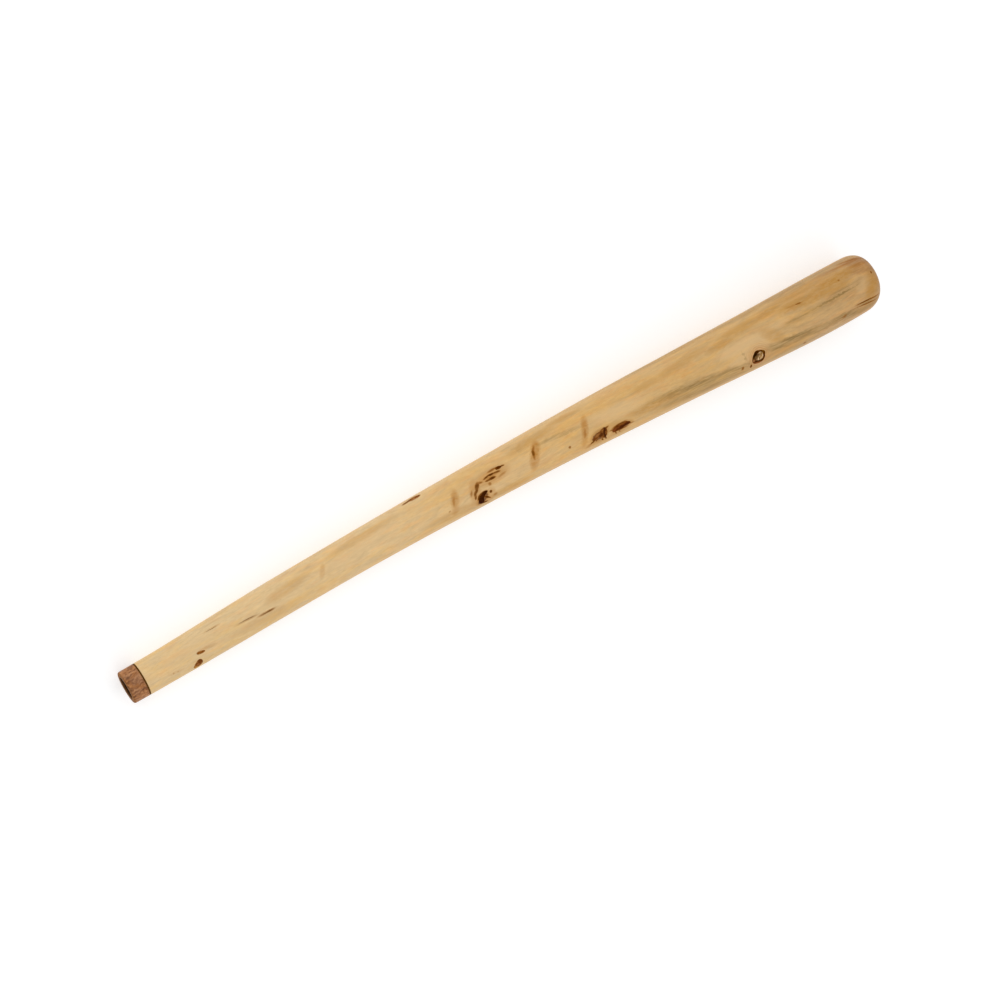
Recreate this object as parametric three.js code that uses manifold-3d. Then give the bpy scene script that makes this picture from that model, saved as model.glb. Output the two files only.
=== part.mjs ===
// Didgeridoo: a naturally hollow, gently bowed and tapering hardwood log, with a
// turned hardwood mouthpiece ring on its narrow end over a dark veneer washer.
// Branch knots and filled voids sit in the log as pieces of their own.
//
// Millimetres, +Z up. It lies on the floor (z = 0) on the belly of its bow and on
// its bell, mouthpiece towards -X and bell towards +X.
//
// Everything is first laid out along the log: s runs from 0 at the mouthpiece's
// face to LENGTH at the bell's face, and an angle runs round the log, 0 on the
// outside of the bow (+Y) and 90 degrees on the side that ends up on top (+Z).
// The whole is then rolled and pitched into its resting attitude.
import * as THREE from "three";
import Module from "manifold-3d";

const { clamp, degToRad, smoothstep } = THREE.MathUtils;

// ---------------------------------------------------------------- log dimensions
const LENGTH = 1250; // overall, along the chord
const STATION_SPACING = 50; // of the two tables below

// Sideways bow of the centreline at each station
const BOW = [
  0.0, 0.82, 2.33, 4.17, 5.96, 7.4, 8.53, 9.53, 10.32, 10.75, 10.89, 10.93,
  10.89, 10.67, 10.18, 9.39, 8.33, 7.1, 5.77, 4.36, 2.93, 1.59, 0.47, -0.26,
  -0.47, 0.0,
];
// Outer radius at each station
const OUTER_RADIUS = [
  22.94, 23.48, 24.3, 25.2, 25.98, 26.51, 26.9, 27.4, 28.06, 28.82, 29.63,
  30.47, 31.36, 32.43, 33.66, 34.89, 36.04, 37.13, 38.23, 39.44, 40.81, 42.27,
  43.65, 44.58, 44.65, 43.46,
];
// Bore of the log, eaten out by termites and widening to the bell: [s, radius]
const BORE = [
  [20, 16.0], [60, 16.0], [180, 16.4], [300, 17.2], [450, 18.0], [600, 19.2],
  [750, 20.2], [900, 21.4], [1040, 22.9], [1150, 24.2], [LENGTH, 25.2],
];

// Irregularities, as fractions of the radius. Each wave is
// [amount, lobes round the log, mm of s per radian, phase in radians].
const OVAL_FADE_IN = [24, 110]; // s over which the outside goes out of round
const OVAL_FLATTENING = -0.014; // at 90 degrees to the bow
const OVAL_WAVES = [
  [0.01, 0, 170, 0.6],
  [0.006, 3, 95, 0],
];
const SKEW_WAVE = [0.005, 0, 210, 1.1]; // leans the oval to either side
const BORE_FADE_IN = [60, 400]; // s over which the bore becomes irregular
const BORE_WAVES = [
  [0.022, 2, 130, 0],
  [0.014, 3, -75, 1],
  [0.02, 0, 88, 0],
];

// Bell end
const BELL_ROUND_AXIAL = 24.0; // outer edge, a quarter of an ellipse
const BELL_ROUND_RADIAL = 13.6;
const BELL_BEVEL = 1.2; // inner edge
const BELL_TILT = 0.052; // slope of the sawn face, about 3 degrees off square
const BELL_TILT_REACH = 90; // length over which the tilt fades out

// ---------------------------------------------------------------- mouthpiece dimensions
const RING_LENGTH = 22.0; // part that shows
const RING_BORE_RADIUS = 15.4; // blowing hole
const RING_EDGE_AXIAL = 2.8; // outer front edge, rounded over
const RING_EDGE_RADIAL = 2.7;
const RING_INNER_ROUND = 1.8; // inner front edge
const RING_SKIN_STATIONS = [8, 15, RING_LENGTH];
const RING_BORE_STATION = 18;
const SPIGOT_RADIUS = 18.5;
const SPIGOT_LENGTH = 14.0; // behind the ring's shoulder
const SPIGOT_CHAMFER = 0.8;
// Socket in the log's narrow end
const SOCKET_RADIUS = 18.8;
const SOCKET_END = 36.5;
// Veneer washer between ring and log
const GLUE = 0.15; // glue line on each face of the washer
const WASHER = 1.8; // thickness
const LOG_FACE = RING_LENGTH + 2 * GLUE + WASHER; // s of the log's narrow end

// Cutters run past the faces they cut
const SOCKET_OVERRUN = 3;
const BORE_OVERRUN_NARROW = 4;
const BORE_OVERRUN_BELL = 6;

// ---------------------------------------------------------------- facets
const AROUND_LOG = 60;
const AROUND_BORE = 36;
const AROUND_RING = 64;
const SKIN_STEPS = 36;
const BELL_ROUND_STEPS = 8;
const BORE_STEPS = 22;
const RING_EDGE_STEPS = 6;
const RING_INNER_STEPS = 5;

// ---------------------------------------------------------------- resting attitude
const ROLL = 20.37; // degrees, about X, turns the bow's belly downwards
const PITCH = -1.01; // degrees, about Y, levels the taper

// ---------------------------------------------------------------- knots and fills
const KNOT_GAP = 0.35; // clearances round the pieces
const FILL_GAP = 0.2;
const INLAY_FLOOR_GAP = 0.1; // under a piece, on top of its side gap
const INLAY_TAPER = 0.55; // size at the bottom relative to the outline
const PLUG_ABOVE = 4; // how far a piece's blank stands out of the skin
const HOLE_ABOVE = 5; // the same for the cutter of its hole
const PLUG_BEND_DEPTH = 0.55; // share of the depth at which the sides bend
const PLUG_BEND_TAPER = 0.35; // share of the drawing-in reached by then

// Where they sit: [s, angle in degrees]
const PLACES = {
  bellKnot: [1014.2, 131.7],
  bellyLeft: [739.3, 128.9],
  bellyRight: [775.6, 133.9],
  centreFill: [545.6, 133.3],
  centreKnot: [582.4, 78.7],
  backEdge: [460.5, 30.1],
  mouthLow: [93.9, 146.5],
  mouthHigh: [103.4, 111.2],
};

// Swellings of the wood: [s, angle, height, spread along, spread round]
const SWELLINGS = [
  [...PLACES.bellKnot, 0.9, 20, 15],
  [...PLACES.bellyLeft, 0.5, 16, 11],
  [...PLACES.bellyRight, 0.45, 18, 9],
  [...PLACES.centreFill, 0.6, 14, 12],
  [576.0, 86.0, 0.35, 14, 9],
  [...PLACES.backEdge, 0.4, 14, 8],
  [...PLACES.mouthLow, 0.3, 9, 9],
  [...PLACES.mouthHigh, 0.2, 8, 5],
];

// Outlines on the skin: [along, round] offsets from the place, in order
const KNOT_BELL_OUTER = [
  [-0.81, -11.39], [4.1, -9.96], [9.27, -7.27], [11.6, -3.68], [11.03, 1.27],
  [9.66, 6.15], [6.88, 10.27], [1.48, 11.39], [-4.85, 10.22], [-8.87, 8.55],
  [-11.6, 3.52], [-11.34, -1.79], [-9.58, -6.1], [-6.29, -9.52], [-3.53, -11.18],
];
const KNOT_BELL_CORE = [
  [2.08, -7.4], [5.6, -6.2], [7.7, -3.2], [7.5, 0.6], [6.7, 3.8], [4.6, 6.0],
  [1.3, 6.1], [-3.6, 4.3], [-6.9, 2.2], [-7.6, -0.4], [-6.7, -3.0],
  [-3.84, -4.78], [-0.7, -6.32],
];
const FILL_BELLY_LEFT = [
  [-12.83, 2.97], [-9.26, -0.99], [-4.6, -4.17], [0.94, -5.83], [5.69, -7.52],
  [9.43, -8.57], [12.3, -5.97], [12.83, -1.52], [11.58, 3.99], [8.74, 8.3],
  [4.52, 7.0], [-0.2, 3.9], [-5.05, 2.9], [-9.07, 3.97],
];
const FILL_BELLY_RIGHT = [
  [-15.74, 0.83], [-13.33, -1.87], [-8.73, -3.84], [-3.38, -5.04],
  [2.55, -4.92], [8.35, -4.18], [13.5, -2.02], [15.5, 0.9], [12.9, 2.4],
  [8.39, 1.9], [4.05, 2.9], [-0.37, 4.7], [-6.24, 3.7], [-10.57, 4.3],
  [-13.93, 3.3],
];
const FILL_CENTRE = [
  [8.2, -8.3], [5.4, -9.3], [2.09, -8.96], [-3.16, -6.59], [-6.79, -3.22],
  [-8.66, 1.67], [-7.07, 6.65], [-2.6, 8.7], [-0.2, 6.06], [0.0, 1.2],
  [2.0, -2.6], [5.23, -5.0], [7.8, -6.6],
];
const KNOT_CENTRE = [
  [-4.9, -0.5], [-3.6, -1.7], [-1.24, -2.3], [2.2, -1.9], [4.4, -0.7],
  [5.0, 0.6], [3.3, 1.75], [0.0, 2.27], [-3.2, 1.6],
];
const KNOT_BACK_EDGE = [
  [-10.31, -1.56], [-4.19, -4.3], [1.51, -4.6], [6.63, -3.2], [10.31, 0.4],
  [6.39, 3.01], [1.64, 3.4], [-3.82, 3.0], [-8.8, 1.6],
];
const KNOT_MOUTH_LOW = [
  [-7.08, 3.34], [-4.55, -1.77], [-0.74, -5.3], [3.46, -7.08], [6.9, -4.4],
  [6.84, 1.16], [4.21, 4.2], [0.03, 6.16], [-4.78, 6.9],
];
const KNOT_MOUTH_HIGH = [
  [-5.9, -0.6], [-4.6, -2.0], [-1.8, -2.2], [1.93, -1.3], [5.0, 0.0],
  [5.9, 1.4], [3.9, 2.2], [-0.26, 2.1], [-4.2, 1.3],
];

// [name, place, outline, depth, gap, finish]
const INLAYS = [
  ["fill_belly_left", PLACES.bellyLeft, FILL_BELLY_LEFT, 7.5, FILL_GAP, "resin_fill"],
  ["fill_belly_right", PLACES.bellyRight, FILL_BELLY_RIGHT, 6.5, FILL_GAP, "resin_fill"],
  ["fill_centre", PLACES.centreFill, FILL_CENTRE, 7.0, FILL_GAP, "resin_fill"],
  ["knot_centre", PLACES.centreKnot, KNOT_CENTRE, 4.0, FILL_GAP, "knot_wood"],
  ["knot_back_edge", PLACES.backEdge, KNOT_BACK_EDGE, 5.0, KNOT_GAP, "knot_wood"],
  ["knot_mouth_low", PLACES.mouthLow, KNOT_MOUTH_LOW, 4.5, KNOT_GAP, "knot_wood"],
  ["knot_mouth_high", PLACES.mouthHigh, KNOT_MOUTH_HIGH, 3.0, FILL_GAP, "knot_wood"],
];
// The large knot near the bell: a core inside a rim of bark
const BELL_KNOT = { depth: 26, taper: 0.66, floorGap: 1 };

// ---------------------------------------------------------------- finishes
const FINISHES = {
  pale_wood: { color: 0xd2ab78, roughness: 0.5 },
  ring_wood: { color: 0x9c6a42, roughness: 0.4 },
  dark_veneer: { color: 0x4a2f1c, roughness: 0.5 },
  resin_fill: { color: 0x2a170d, roughness: 0.3 },
  knot_wood: { color: 0x7a4d2b, roughness: 0.55 },
  knot_heart: { color: 0x8f7860, roughness: 0.6 },
  knot_bark: { color: 0x2e1d12, roughness: 0.7 },
};

// ---------------------------------------------------------------- log surface
// Catmull-Rom curve through a station table: its value and slope at s.
function spline(stations, s) {
  const position = clamp(s, 0, LENGTH) / STATION_SPACING;
  const last = stations.length - 1;
  const i = Math.min(Math.floor(position), last - 1);
  const t = position - i;
  // The table is carried on in a straight line past either end.
  const before = i > 0 ? stations[i - 1] : 2 * stations[0] - stations[1];
  const start = stations[i];
  const end = stations[i + 1];
  const after = i + 2 <= last ? stations[i + 2] : 2 * stations[last] - stations[last - 1];
  const linear = end - before;
  const square = 2 * before - 5 * start + 4 * end - after;
  const cubic = -before + 3 * start - 3 * end + after;
  return {
    value: 0.5 * (2 * start + linear * t + square * t * t + cubic * t * t * t),
    slope: (0.5 * (linear + 2 * square * t + 3 * cubic * t * t)) / STATION_SPACING,
  };
}

// Outer radius before irregularities; the ring and washer follow it too.
const plainRadius = (s) => spline(OUTER_RADIUS, s).value;

function waveSum(waves, s, angle) {
  let sum = 0;
  for (const [amount, lobes, stretch, phase] of waves) {
    sum += amount * Math.sin(lobes * angle + s / stretch + phase);
  }
  return sum;
}

// Signed angle between -180 and 180 degrees, in radians.
const wrapAngle = (angle) => angle - 2 * Math.PI * Math.round(angle / (2 * Math.PI));

// Outside of the log: round where it meets the washer, then slightly out of
// round, with low swellings.
function outerRadius(s, angle) {
  const plain = plainRadius(s);
  const oval =
    Math.sin(angle) ** 2 * (OVAL_FLATTENING + waveSum(OVAL_WAVES, s, angle)) +
    Math.sin(2 * angle) * waveSum([SKEW_WAVE], s, angle);
  let radius = plain * (1 + smoothstep(s, ...OVAL_FADE_IN) * oval);
  for (const [centreS, centreAngle, height, spreadAlong, spreadRound] of SWELLINGS) {
    const along = (s - centreS) / spreadAlong;
    const round = (wrapAngle(angle - degToRad(centreAngle)) * plain) / spreadRound;
    radius += height * Math.exp(-0.5 * along ** 2 - 0.5 * round ** 2);
  }
  return radius;
}

// Bore of the log: a smooth taper with a slight natural irregularity.
function boreRadius(s, angle) {
  let i = 0;
  while (i < BORE.length - 2 && s > BORE[i + 1][0]) i++;
  const [startS, startRadius] = BORE[i];
  const [endS, endRadius] = BORE[i + 1];
  const radius = startRadius + ((endRadius - startRadius) * (s - startS)) / (endS - startS);
  return radius * (1 + smoothstep(s, ...BORE_FADE_IN) * waveSum(BORE_WAVES, s, angle));
}

// The point at s, an angle and a distance from the centreline. The stretch next
// to the bell is sheared to tilt its face.
function place(s, angle, radius) {
  const { value: bow, slope } = spline(BOW, s);
  const slant = Math.hypot(1, slope);
  const across = radius * Math.cos(angle);
  const tilt = BELL_TILT * clamp(1 - Math.abs(LENGTH - s) / BELL_TILT_REACH, 0, 1);
  return new THREE.Vector3(
    s - (across * slope) / slant + tilt * across,
    bow + across / slant,
    radius * Math.sin(angle),
  );
}

// ---------------------------------------------------------------- solids
const wasm = await Module();
wasm.setup();

function solid(points, triangles) {
  return new wasm.Manifold(
    new wasm.Mesh({
      numProp: 3,
      vertProperties: Float32Array.from(points.flatMap((point) => point.toArray())),
      triVerts: Uint32Array.from(triangles),
    }),
  );
}

// Rows of points swept round the centreline. Each row is [s, radius], the radius
// a number or a function of the angle. `loop` joins the last row to the first;
// otherwise both ends are closed on the centreline.
function sweep(rows, count, loop = false) {
  const points = [];
  for (const [s, radius] of rows) {
    for (let j = 0; j < count; j++) {
      const angle = (j / count) * 2 * Math.PI;
      points.push(place(s, angle, typeof radius === "function" ? radius(angle) : radius));
    }
  }

  const triangles = [];
  const last = rows.length - 1;
  for (let i = 0; i < (loop ? rows.length : last); i++) {
    const row = i * count;
    const nextRow = ((i + 1) % rows.length) * count;
    for (let j = 0; j < count; j++) {
      const k = (j + 1) % count;
      const corners = [row + j, row + k, nextRow + k, nextRow + j];
      const [a, b, c, d] = corners;
      // the diagonals alternate
      if ((row + j - row + i) % 2) triangles.push(a, b, d, b, c, d);
      else triangles.push(a, b, c, a, c, d);
    }
  }
  if (!loop) {
    const startCentre = points.push(place(rows[0][0], 0, 0)) - 1;
    const endCentre = points.push(place(rows[last][0], 0, 0)) - 1;
    for (let j = 0; j < count; j++) {
      const k = (j + 1) % count;
      triangles.push(startCentre, k, j);
      triangles.push(endCentre, last * count + j, last * count + k);
    }
  }
  return solid(points, triangles);
}

const toVectors = (outline) => outline.map(([x, y]) => new THREE.Vector2(x, y));
const isClockwise = (outline) => THREE.ShapeUtils.isClockWise(toVectors(outline));

// Moves each side of a closed outline outwards by a distance.
function grow(outline, distance) {
  const sign = isClockwise(outline) ? -1 : 1;
  const count = outline.length;
  const outwardNormal = (from, to) => {
    const x = to[0] - from[0];
    const y = to[1] - from[1];
    const length = Math.hypot(x, y);
    return [(y / length) * sign, (-x / length) * sign];
  };
  return outline.map((point, i) => {
    const before = outwardNormal(outline[(i + count - 1) % count], point);
    const after = outwardNormal(point, outline[(i + 1) % count]);
    const x = before[0] + after[0];
    const y = before[1] + after[1];
    const scale = (2 * distance) / (x * x + y * y);
    return [point[0] + x * scale, point[1] + y * scale];
  });
}

// A plug under an outline on the log's skin: from `above` the skin down to
// `depth`, its sides drawing in to `taper` of the outline's size on the way.
function plug([centreS, centreAngle], outline, above, depth, taper) {
  const radius = plainRadius(centreS);
  // [height over the skin, scale of the outline]
  const levels = [
    [above, 1],
    [0, 1],
    [-depth * PLUG_BEND_DEPTH, 1 - (1 - taper) * PLUG_BEND_TAPER],
    [-depth, taper],
  ];
  const points = [];
  for (const [height, scale] of levels) {
    for (const [along, round] of outline) {
      const s = centreS + along * scale;
      const angle = degToRad(centreAngle) + (round * scale) / radius;
      points.push(place(s, angle, outerRadius(s, angle) + height));
    }
  }

  const count = outline.length;
  const bottom = (levels.length - 1) * count;
  const triangles = [];
  for (const [a, b, c] of THREE.ShapeUtils.triangulateShape(toVectors(outline), [])) {
    triangles.push(a, c, b);
    triangles.push(bottom + a, bottom + b, bottom + c);
  }
  // The caps wind the same way for any outline, so the walls allow for its sense.
  const clockwise = isClockwise(outline);
  for (let level = 0; level < levels.length - 1; level++) {
    for (let i = 0; i < count; i++) {
      const a = level * count + i;
      const b = level * count + ((i + 1) % count);
      const c = b + count;
      const d = a + count;
      if (clockwise) triangles.push(a, d, b, b, d, c);
      else triangles.push(a, b, d, b, c, d);
    }
  }
  return solid(points, triangles);
}

// ---------------------------------------------------------------- the log
function makeBillet() {
  const roundStart = LENGTH - BELL_ROUND_AXIAL;
  const rows = [];
  for (let i = 0; i <= SKIN_STEPS; i++) {
    const s = LOG_FACE + ((roundStart - LOG_FACE) * i) / SKIN_STEPS;
    rows.push([s, (angle) => outerRadius(s, angle)]);
  }
  for (let i = 1; i <= BELL_ROUND_STEPS; i++) {
    const turn = degToRad((i / BELL_ROUND_STEPS) * 90);
    const s = roundStart + BELL_ROUND_AXIAL * Math.sin(turn);
    const inset = BELL_ROUND_RADIAL * (1 - Math.cos(turn));
    rows.push([s, (angle) => outerRadius(s, angle) - inset]);
  }
  return sweep(rows, AROUND_LOG);
}

function makeBoreCutter() {
  const start = LOG_FACE - BORE_OVERRUN_NARROW;
  const rows = [];
  for (let i = 0; i <= BORE_STEPS; i++) {
    const s = start + ((LENGTH - BELL_BEVEL - start) * i) / BORE_STEPS;
    rows.push([s, (angle) => boreRadius(s, angle)]);
  }
  // the bevel, carried on past the bell's face
  for (const past of [0, BORE_OVERRUN_BELL]) {
    rows.push([LENGTH + past, (angle) => boreRadius(LENGTH, angle) + BELL_BEVEL + past]);
  }
  return sweep(rows, AROUND_BORE);
}

function makeSocketCutter() {
  const rows = [
    [LOG_FACE - SOCKET_OVERRUN, SOCKET_RADIUS],
    [SOCKET_END, SOCKET_RADIUS],
  ];
  return sweep(rows, AROUND_RING);
}

// The hollow log with its inlays: parts as [name, solid, finish], the log first.
function makeLog() {
  const tube = makeBillet().subtract(makeBoreCutter()).subtract(makeSocketCutter());
  const pieces = [];
  let body = tube;
  for (const [name, at, outline, depth, gap, finish] of INLAYS) {
    const blank = plug(at, outline, PLUG_ABOVE, depth, INLAY_TAPER);
    const holeDepth = depth + gap + INLAY_FLOOR_GAP;
    const hole = plug(at, grow(outline, gap), HOLE_ABOVE, holeDepth, INLAY_TAPER);
    pieces.push([name, blank.intersect(tube), finish]);
    body = body.subtract(hole);
  }

  const { depth, taper, floorGap } = BELL_KNOT;
  const knotBlank = (outline) => plug(PLACES.bellKnot, outline, PLUG_ABOVE, depth, taper);
  const knotHole = (outline) =>
    plug(PLACES.bellKnot, grow(outline, KNOT_GAP), HOLE_ABOVE, depth + floorGap, taper);
  const core = knotBlank(KNOT_BELL_CORE);
  const bark = knotBlank(KNOT_BELL_OUTER).subtract(knotHole(KNOT_BELL_CORE));
  pieces.push(["knot_bell_stub", core.intersect(tube), "knot_heart"]);
  pieces.push(["knot_bell_bark", bark.intersect(tube), "knot_bark"]);
  body = body.subtract(knotHole(KNOT_BELL_OUTER));
  return [["log_body", body, "pale_wood"], ...pieces];
}

// ---------------------------------------------------------------- mouthpiece
// The profile runs from the outer front edge back along the skin, over the
// spigot and out through the blowing hole.
function makeRing() {
  const rows = [];
  for (let i = 0; i <= RING_EDGE_STEPS; i++) {
    const turn = degToRad((i / RING_EDGE_STEPS) * 90);
    const s = RING_EDGE_AXIAL * (1 - Math.cos(turn));
    rows.push([s, plainRadius(s) - RING_EDGE_RADIAL * (1 - Math.sin(turn))]);
  }
  for (const s of RING_SKIN_STATIONS) rows.push([s, plainRadius(s)]);
  const back = RING_LENGTH + SPIGOT_LENGTH;
  rows.push(
    [RING_LENGTH, SPIGOT_RADIUS],
    [back - SPIGOT_CHAMFER, SPIGOT_RADIUS],
    [back, SPIGOT_RADIUS - SPIGOT_CHAMFER],
    [back, RING_BORE_RADIUS],
    [RING_BORE_STATION, RING_BORE_RADIUS],
  );
  for (let i = 0; i <= RING_INNER_STEPS; i++) {
    const turn = degToRad((i / RING_INNER_STEPS) * 90);
    rows.push([
      RING_INNER_ROUND * (1 - Math.sin(turn)),
      RING_BORE_RADIUS + RING_INNER_ROUND * (1 - Math.cos(turn)),
    ]);
  }
  return sweep(rows, AROUND_RING, true);
}

function makeWasher() {
  const front = RING_LENGTH + GLUE;
  const back = front + WASHER;
  const rows = [
    [front, plainRadius(front)],
    [back, plainRadius(back)],
    [back, SOCKET_RADIUS],
    [front, SOCKET_RADIUS],
  ];
  return sweep(rows, AROUND_RING, true);
}

// ---------------------------------------------------------------- assembly
function makeMesh(name, manifold, finish) {
  const { vertProperties, triVerts } = manifold.getMesh();
  const indexed = new THREE.BufferGeometry();
  indexed.setAttribute("position", new THREE.Float32BufferAttribute(vertProperties, 3));
  indexed.setIndex(Array.from(triVerts));
  const geometry = indexed.toNonIndexed(); // unshared corners give flat facets
  geometry.computeVertexNormals();
  const material = new THREE.MeshStandardMaterial({ ...FINISHES[finish], metalness: 0 });
  material.name = finish;
  const mesh = new THREE.Mesh(geometry, material);
  mesh.name = name;
  return mesh;
}

const [logBody, ...inlays] = makeLog();
const parts = [
  logBody,
  ["mouthpiece_ring", makeRing(), "ring_wood"],
  ["spacer_ring", makeWasher(), "dark_veneer"],
  ...inlays,
];

// This group turns the pieces into the resting attitude and sets them on the
// floor, with the footprint's middle at the origin.
const resting = new THREE.Group();
resting.rotation.set(degToRad(-ROLL), degToRad(PITCH), 0, "YXZ");
for (const part of parts) resting.add(makeMesh(...part));
const bounds = new THREE.Box3().setFromObject(resting, true);
const middle = bounds.getCenter(new THREE.Vector3());
resting.position.set(-middle.x, -middle.y, -bounds.min.z);

const didgeridoo = new THREE.Group();
didgeridoo.name = "didgeridoo";
didgeridoo.add(resting);

export default didgeridoo;
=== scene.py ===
"""A didgeridoo: a bowed eucalypt log hollowed by termites, with a turned ring and a dark
washer at the mouthpiece, and knots and dark fillings set into its skin. It lies along X with
the mouthpiece at -X, the bell at +X and the outside of the bow towards +Y."""
import math
from types import SimpleNamespace

import bmesh
import bpy
import numpy as np
from mathutils import Matrix, Vector

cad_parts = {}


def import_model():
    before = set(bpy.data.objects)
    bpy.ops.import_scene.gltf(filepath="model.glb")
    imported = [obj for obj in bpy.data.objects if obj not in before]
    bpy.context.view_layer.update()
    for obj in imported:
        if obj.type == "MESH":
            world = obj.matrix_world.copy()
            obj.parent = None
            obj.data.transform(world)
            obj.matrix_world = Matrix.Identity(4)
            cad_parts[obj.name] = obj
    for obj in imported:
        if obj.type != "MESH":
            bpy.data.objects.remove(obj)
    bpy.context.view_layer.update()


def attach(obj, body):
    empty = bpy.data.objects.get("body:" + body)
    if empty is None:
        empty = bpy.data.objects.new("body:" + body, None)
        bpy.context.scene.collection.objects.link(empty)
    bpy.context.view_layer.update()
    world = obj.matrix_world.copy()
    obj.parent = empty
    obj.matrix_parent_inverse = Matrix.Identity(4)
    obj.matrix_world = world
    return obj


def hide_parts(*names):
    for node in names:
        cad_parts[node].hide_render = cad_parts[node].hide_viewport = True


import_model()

# ------------------------------------------------------------------ dimensions
# Millimetres. "along" runs from 0 at the mouthpiece's face to LENGTH at the bell. Angles in
# the tables are degrees: 0 on the outside of the bow, 90 on top. A spot is (along, angle).
LENGTH = 1250.0
STATION = 50.0  # spacing of the BOW and RADIUS figures
BOW = np.array([
    0.0, 0.82, 2.33, 4.17, 5.96, 7.4, 8.53, 9.53, 10.32, 10.75, 10.89, 10.93, 10.89, 10.67,
    10.18, 9.39, 8.33, 7.1, 5.77, 4.36, 2.93, 1.59, 0.47, -0.26, -0.47, 0.0])
RADIUS = np.array([
    22.94, 23.48, 24.3, 25.2, 25.98, 26.51, 26.9, 27.4, 28.06, 28.82, 29.63, 30.47, 31.36,
    32.43, 33.66, 34.89, 36.04, 37.13, 38.23, 39.44, 40.81, 42.27, 43.65, 44.58, 44.65, 43.46])
BORE = np.array([  # along, radius
    [20, 16.0], [60, 16.0], [180, 16.4], [300, 17.2], [450, 18.0], [600, 19.2], [750, 20.2],
    [900, 21.4], [1040, 22.9], [1150, 24.2], [1250, 25.2], [1262, 25.4]])
RING_LENGTH, RING_BORE = 22.0, 15.4
RING_EDGE_AXIAL, RING_EDGE_RADIAL, RING_INNER_ROUND = 2.8, 2.7, 1.8
SPIGOT_RADIUS, SPIGOT_LENGTH, SPIGOT_CHAMFER = 18.5, 14.0, 0.8
GLUE, WASHER, WASHER_OVERLAP = 0.15, 1.8, 0.08
FACE = RING_LENGTH + 2 * GLUE + WASHER  # the log's end behind the washer
SOCKET_RADIUS, SOCKET_END = 18.8, 36.5
BELL_ROUND_AXIAL, BELL_ROUND_RADIAL, BELL_BEVEL = 24.0, 13.6, 1.2
BELL_ROUND_START = LENGTH - BELL_ROUND_AXIAL
BELL_TILT, BELL_TILT_REACH = 0.052, 90.0
ROLL, PITCH = 20.37, -1.01  # degrees
SHIFT = np.array([-625.471405, 0.404864875, 24.357208])
SWELLINGS = [  # along, angle, height, spread along, spread across
    (1014.2, 131.7, 0.9, 20, 15), (739.3, 128.9, 0.5, 16, 11), (775.6, 133.9, 0.45, 18, 9),
    (545.6, 133.3, 0.6, 14, 12), (576, 86, 0.35, 14, 9), (460.5, 30.1, 0.4, 14, 8),
    (93.9, 146.5, 0.3, 9, 9), (103.4, 111.2, 0.2, 8, 5)]
RAD = math.pi / 180
TURN = 2 * np.pi

# Outlines of the inset pieces: distance along and across the log from their spot.
OUTLINES = {
    "bell_outer": [(-0.81, -11.39), (4.1, -9.96), (9.27, -7.27), (11.6, -3.68), (11.03, 1.27),
                   (9.66, 6.15), (6.88, 10.27), (1.48, 11.39), (-4.85, 10.22), (-8.87, 8.55),
                   (-11.6, 3.52), (-11.34, -1.79), (-9.58, -6.1), (-6.29, -9.52),
                   (-3.53, -11.18)],
    "bell_core": [(2.08, -7.4), (5.6, -6.2), (7.7, -3.2), (7.5, 0.6), (6.7, 3.8), (4.6, 6),
                  (1.3, 6.1), (-3.6, 4.3), (-6.9, 2.2), (-7.6, -0.4), (-6.7, -3),
                  (-3.84, -4.78), (-0.7, -6.32)],
    "belly_left": [(-12.83, 2.97), (-9.26, -0.99), (-4.6, -4.17), (0.94, -5.83), (5.69, -7.52),
                   (9.43, -8.57), (12.3, -5.97), (12.83, -1.52), (11.58, 3.99), (8.74, 8.3),
                   (4.52, 7), (-0.2, 3.9), (-5.05, 2.9), (-9.07, 3.97)],
    "belly_right": [(-15.74, 0.83), (-13.33, -1.87), (-8.73, -3.84), (-3.38, -5.04),
                    (2.55, -4.92), (8.35, -4.18), (13.5, -2.02), (15.5, 0.9), (12.9, 2.4),
                    (8.39, 1.9), (4.05, 2.9), (-0.37, 4.7), (-6.24, 3.7), (-10.57, 4.3),
                    (-13.93, 3.3)],
    "centre": [(8.2, -8.3), (5.4, -9.3), (2.09, -8.96), (-3.16, -6.59), (-6.79, -3.22),
               (-8.66, 1.67), (-7.07, 6.65), (-2.6, 8.7), (-0.2, 6.06), (0, 1.2),
               (2, -2.6), (5.23, -5), (7.8, -6.6)],
    "knot_centre": [(-4.9, -0.5), (-3.6, -1.7), (-1.24, -2.3), (2.2, -1.9), (4.4, -0.7),
                    (5, 0.6), (3.3, 1.75), (0, 2.27), (-3.2, 1.6)],
    "back_edge": [(-10.31, -1.56), (-4.19, -4.3), (1.51, -4.6), (6.63, -3.2), (10.31, 0.4),
                  (6.39, 3.01), (1.64, 3.4), (-3.82, 3), (-8.8, 1.6)],
    "mouth_low": [(-7.08, 3.34), (-4.55, -1.77), (-0.74, -5.3), (3.46, -7.08), (6.9, -4.4),
                  (6.84, 1.16), (4.21, 4.2), (0.03, 6.16), (-4.78, 6.9)],
    "mouth_high": [(-5.9, -0.6), (-4.6, -2), (-1.8, -2.2), (1.93, -1.3), (5, 0),
                   (5.9, 1.4), (3.9, 2.2), (-0.26, 2.1), (-4.2, 1.3)],
}

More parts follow.
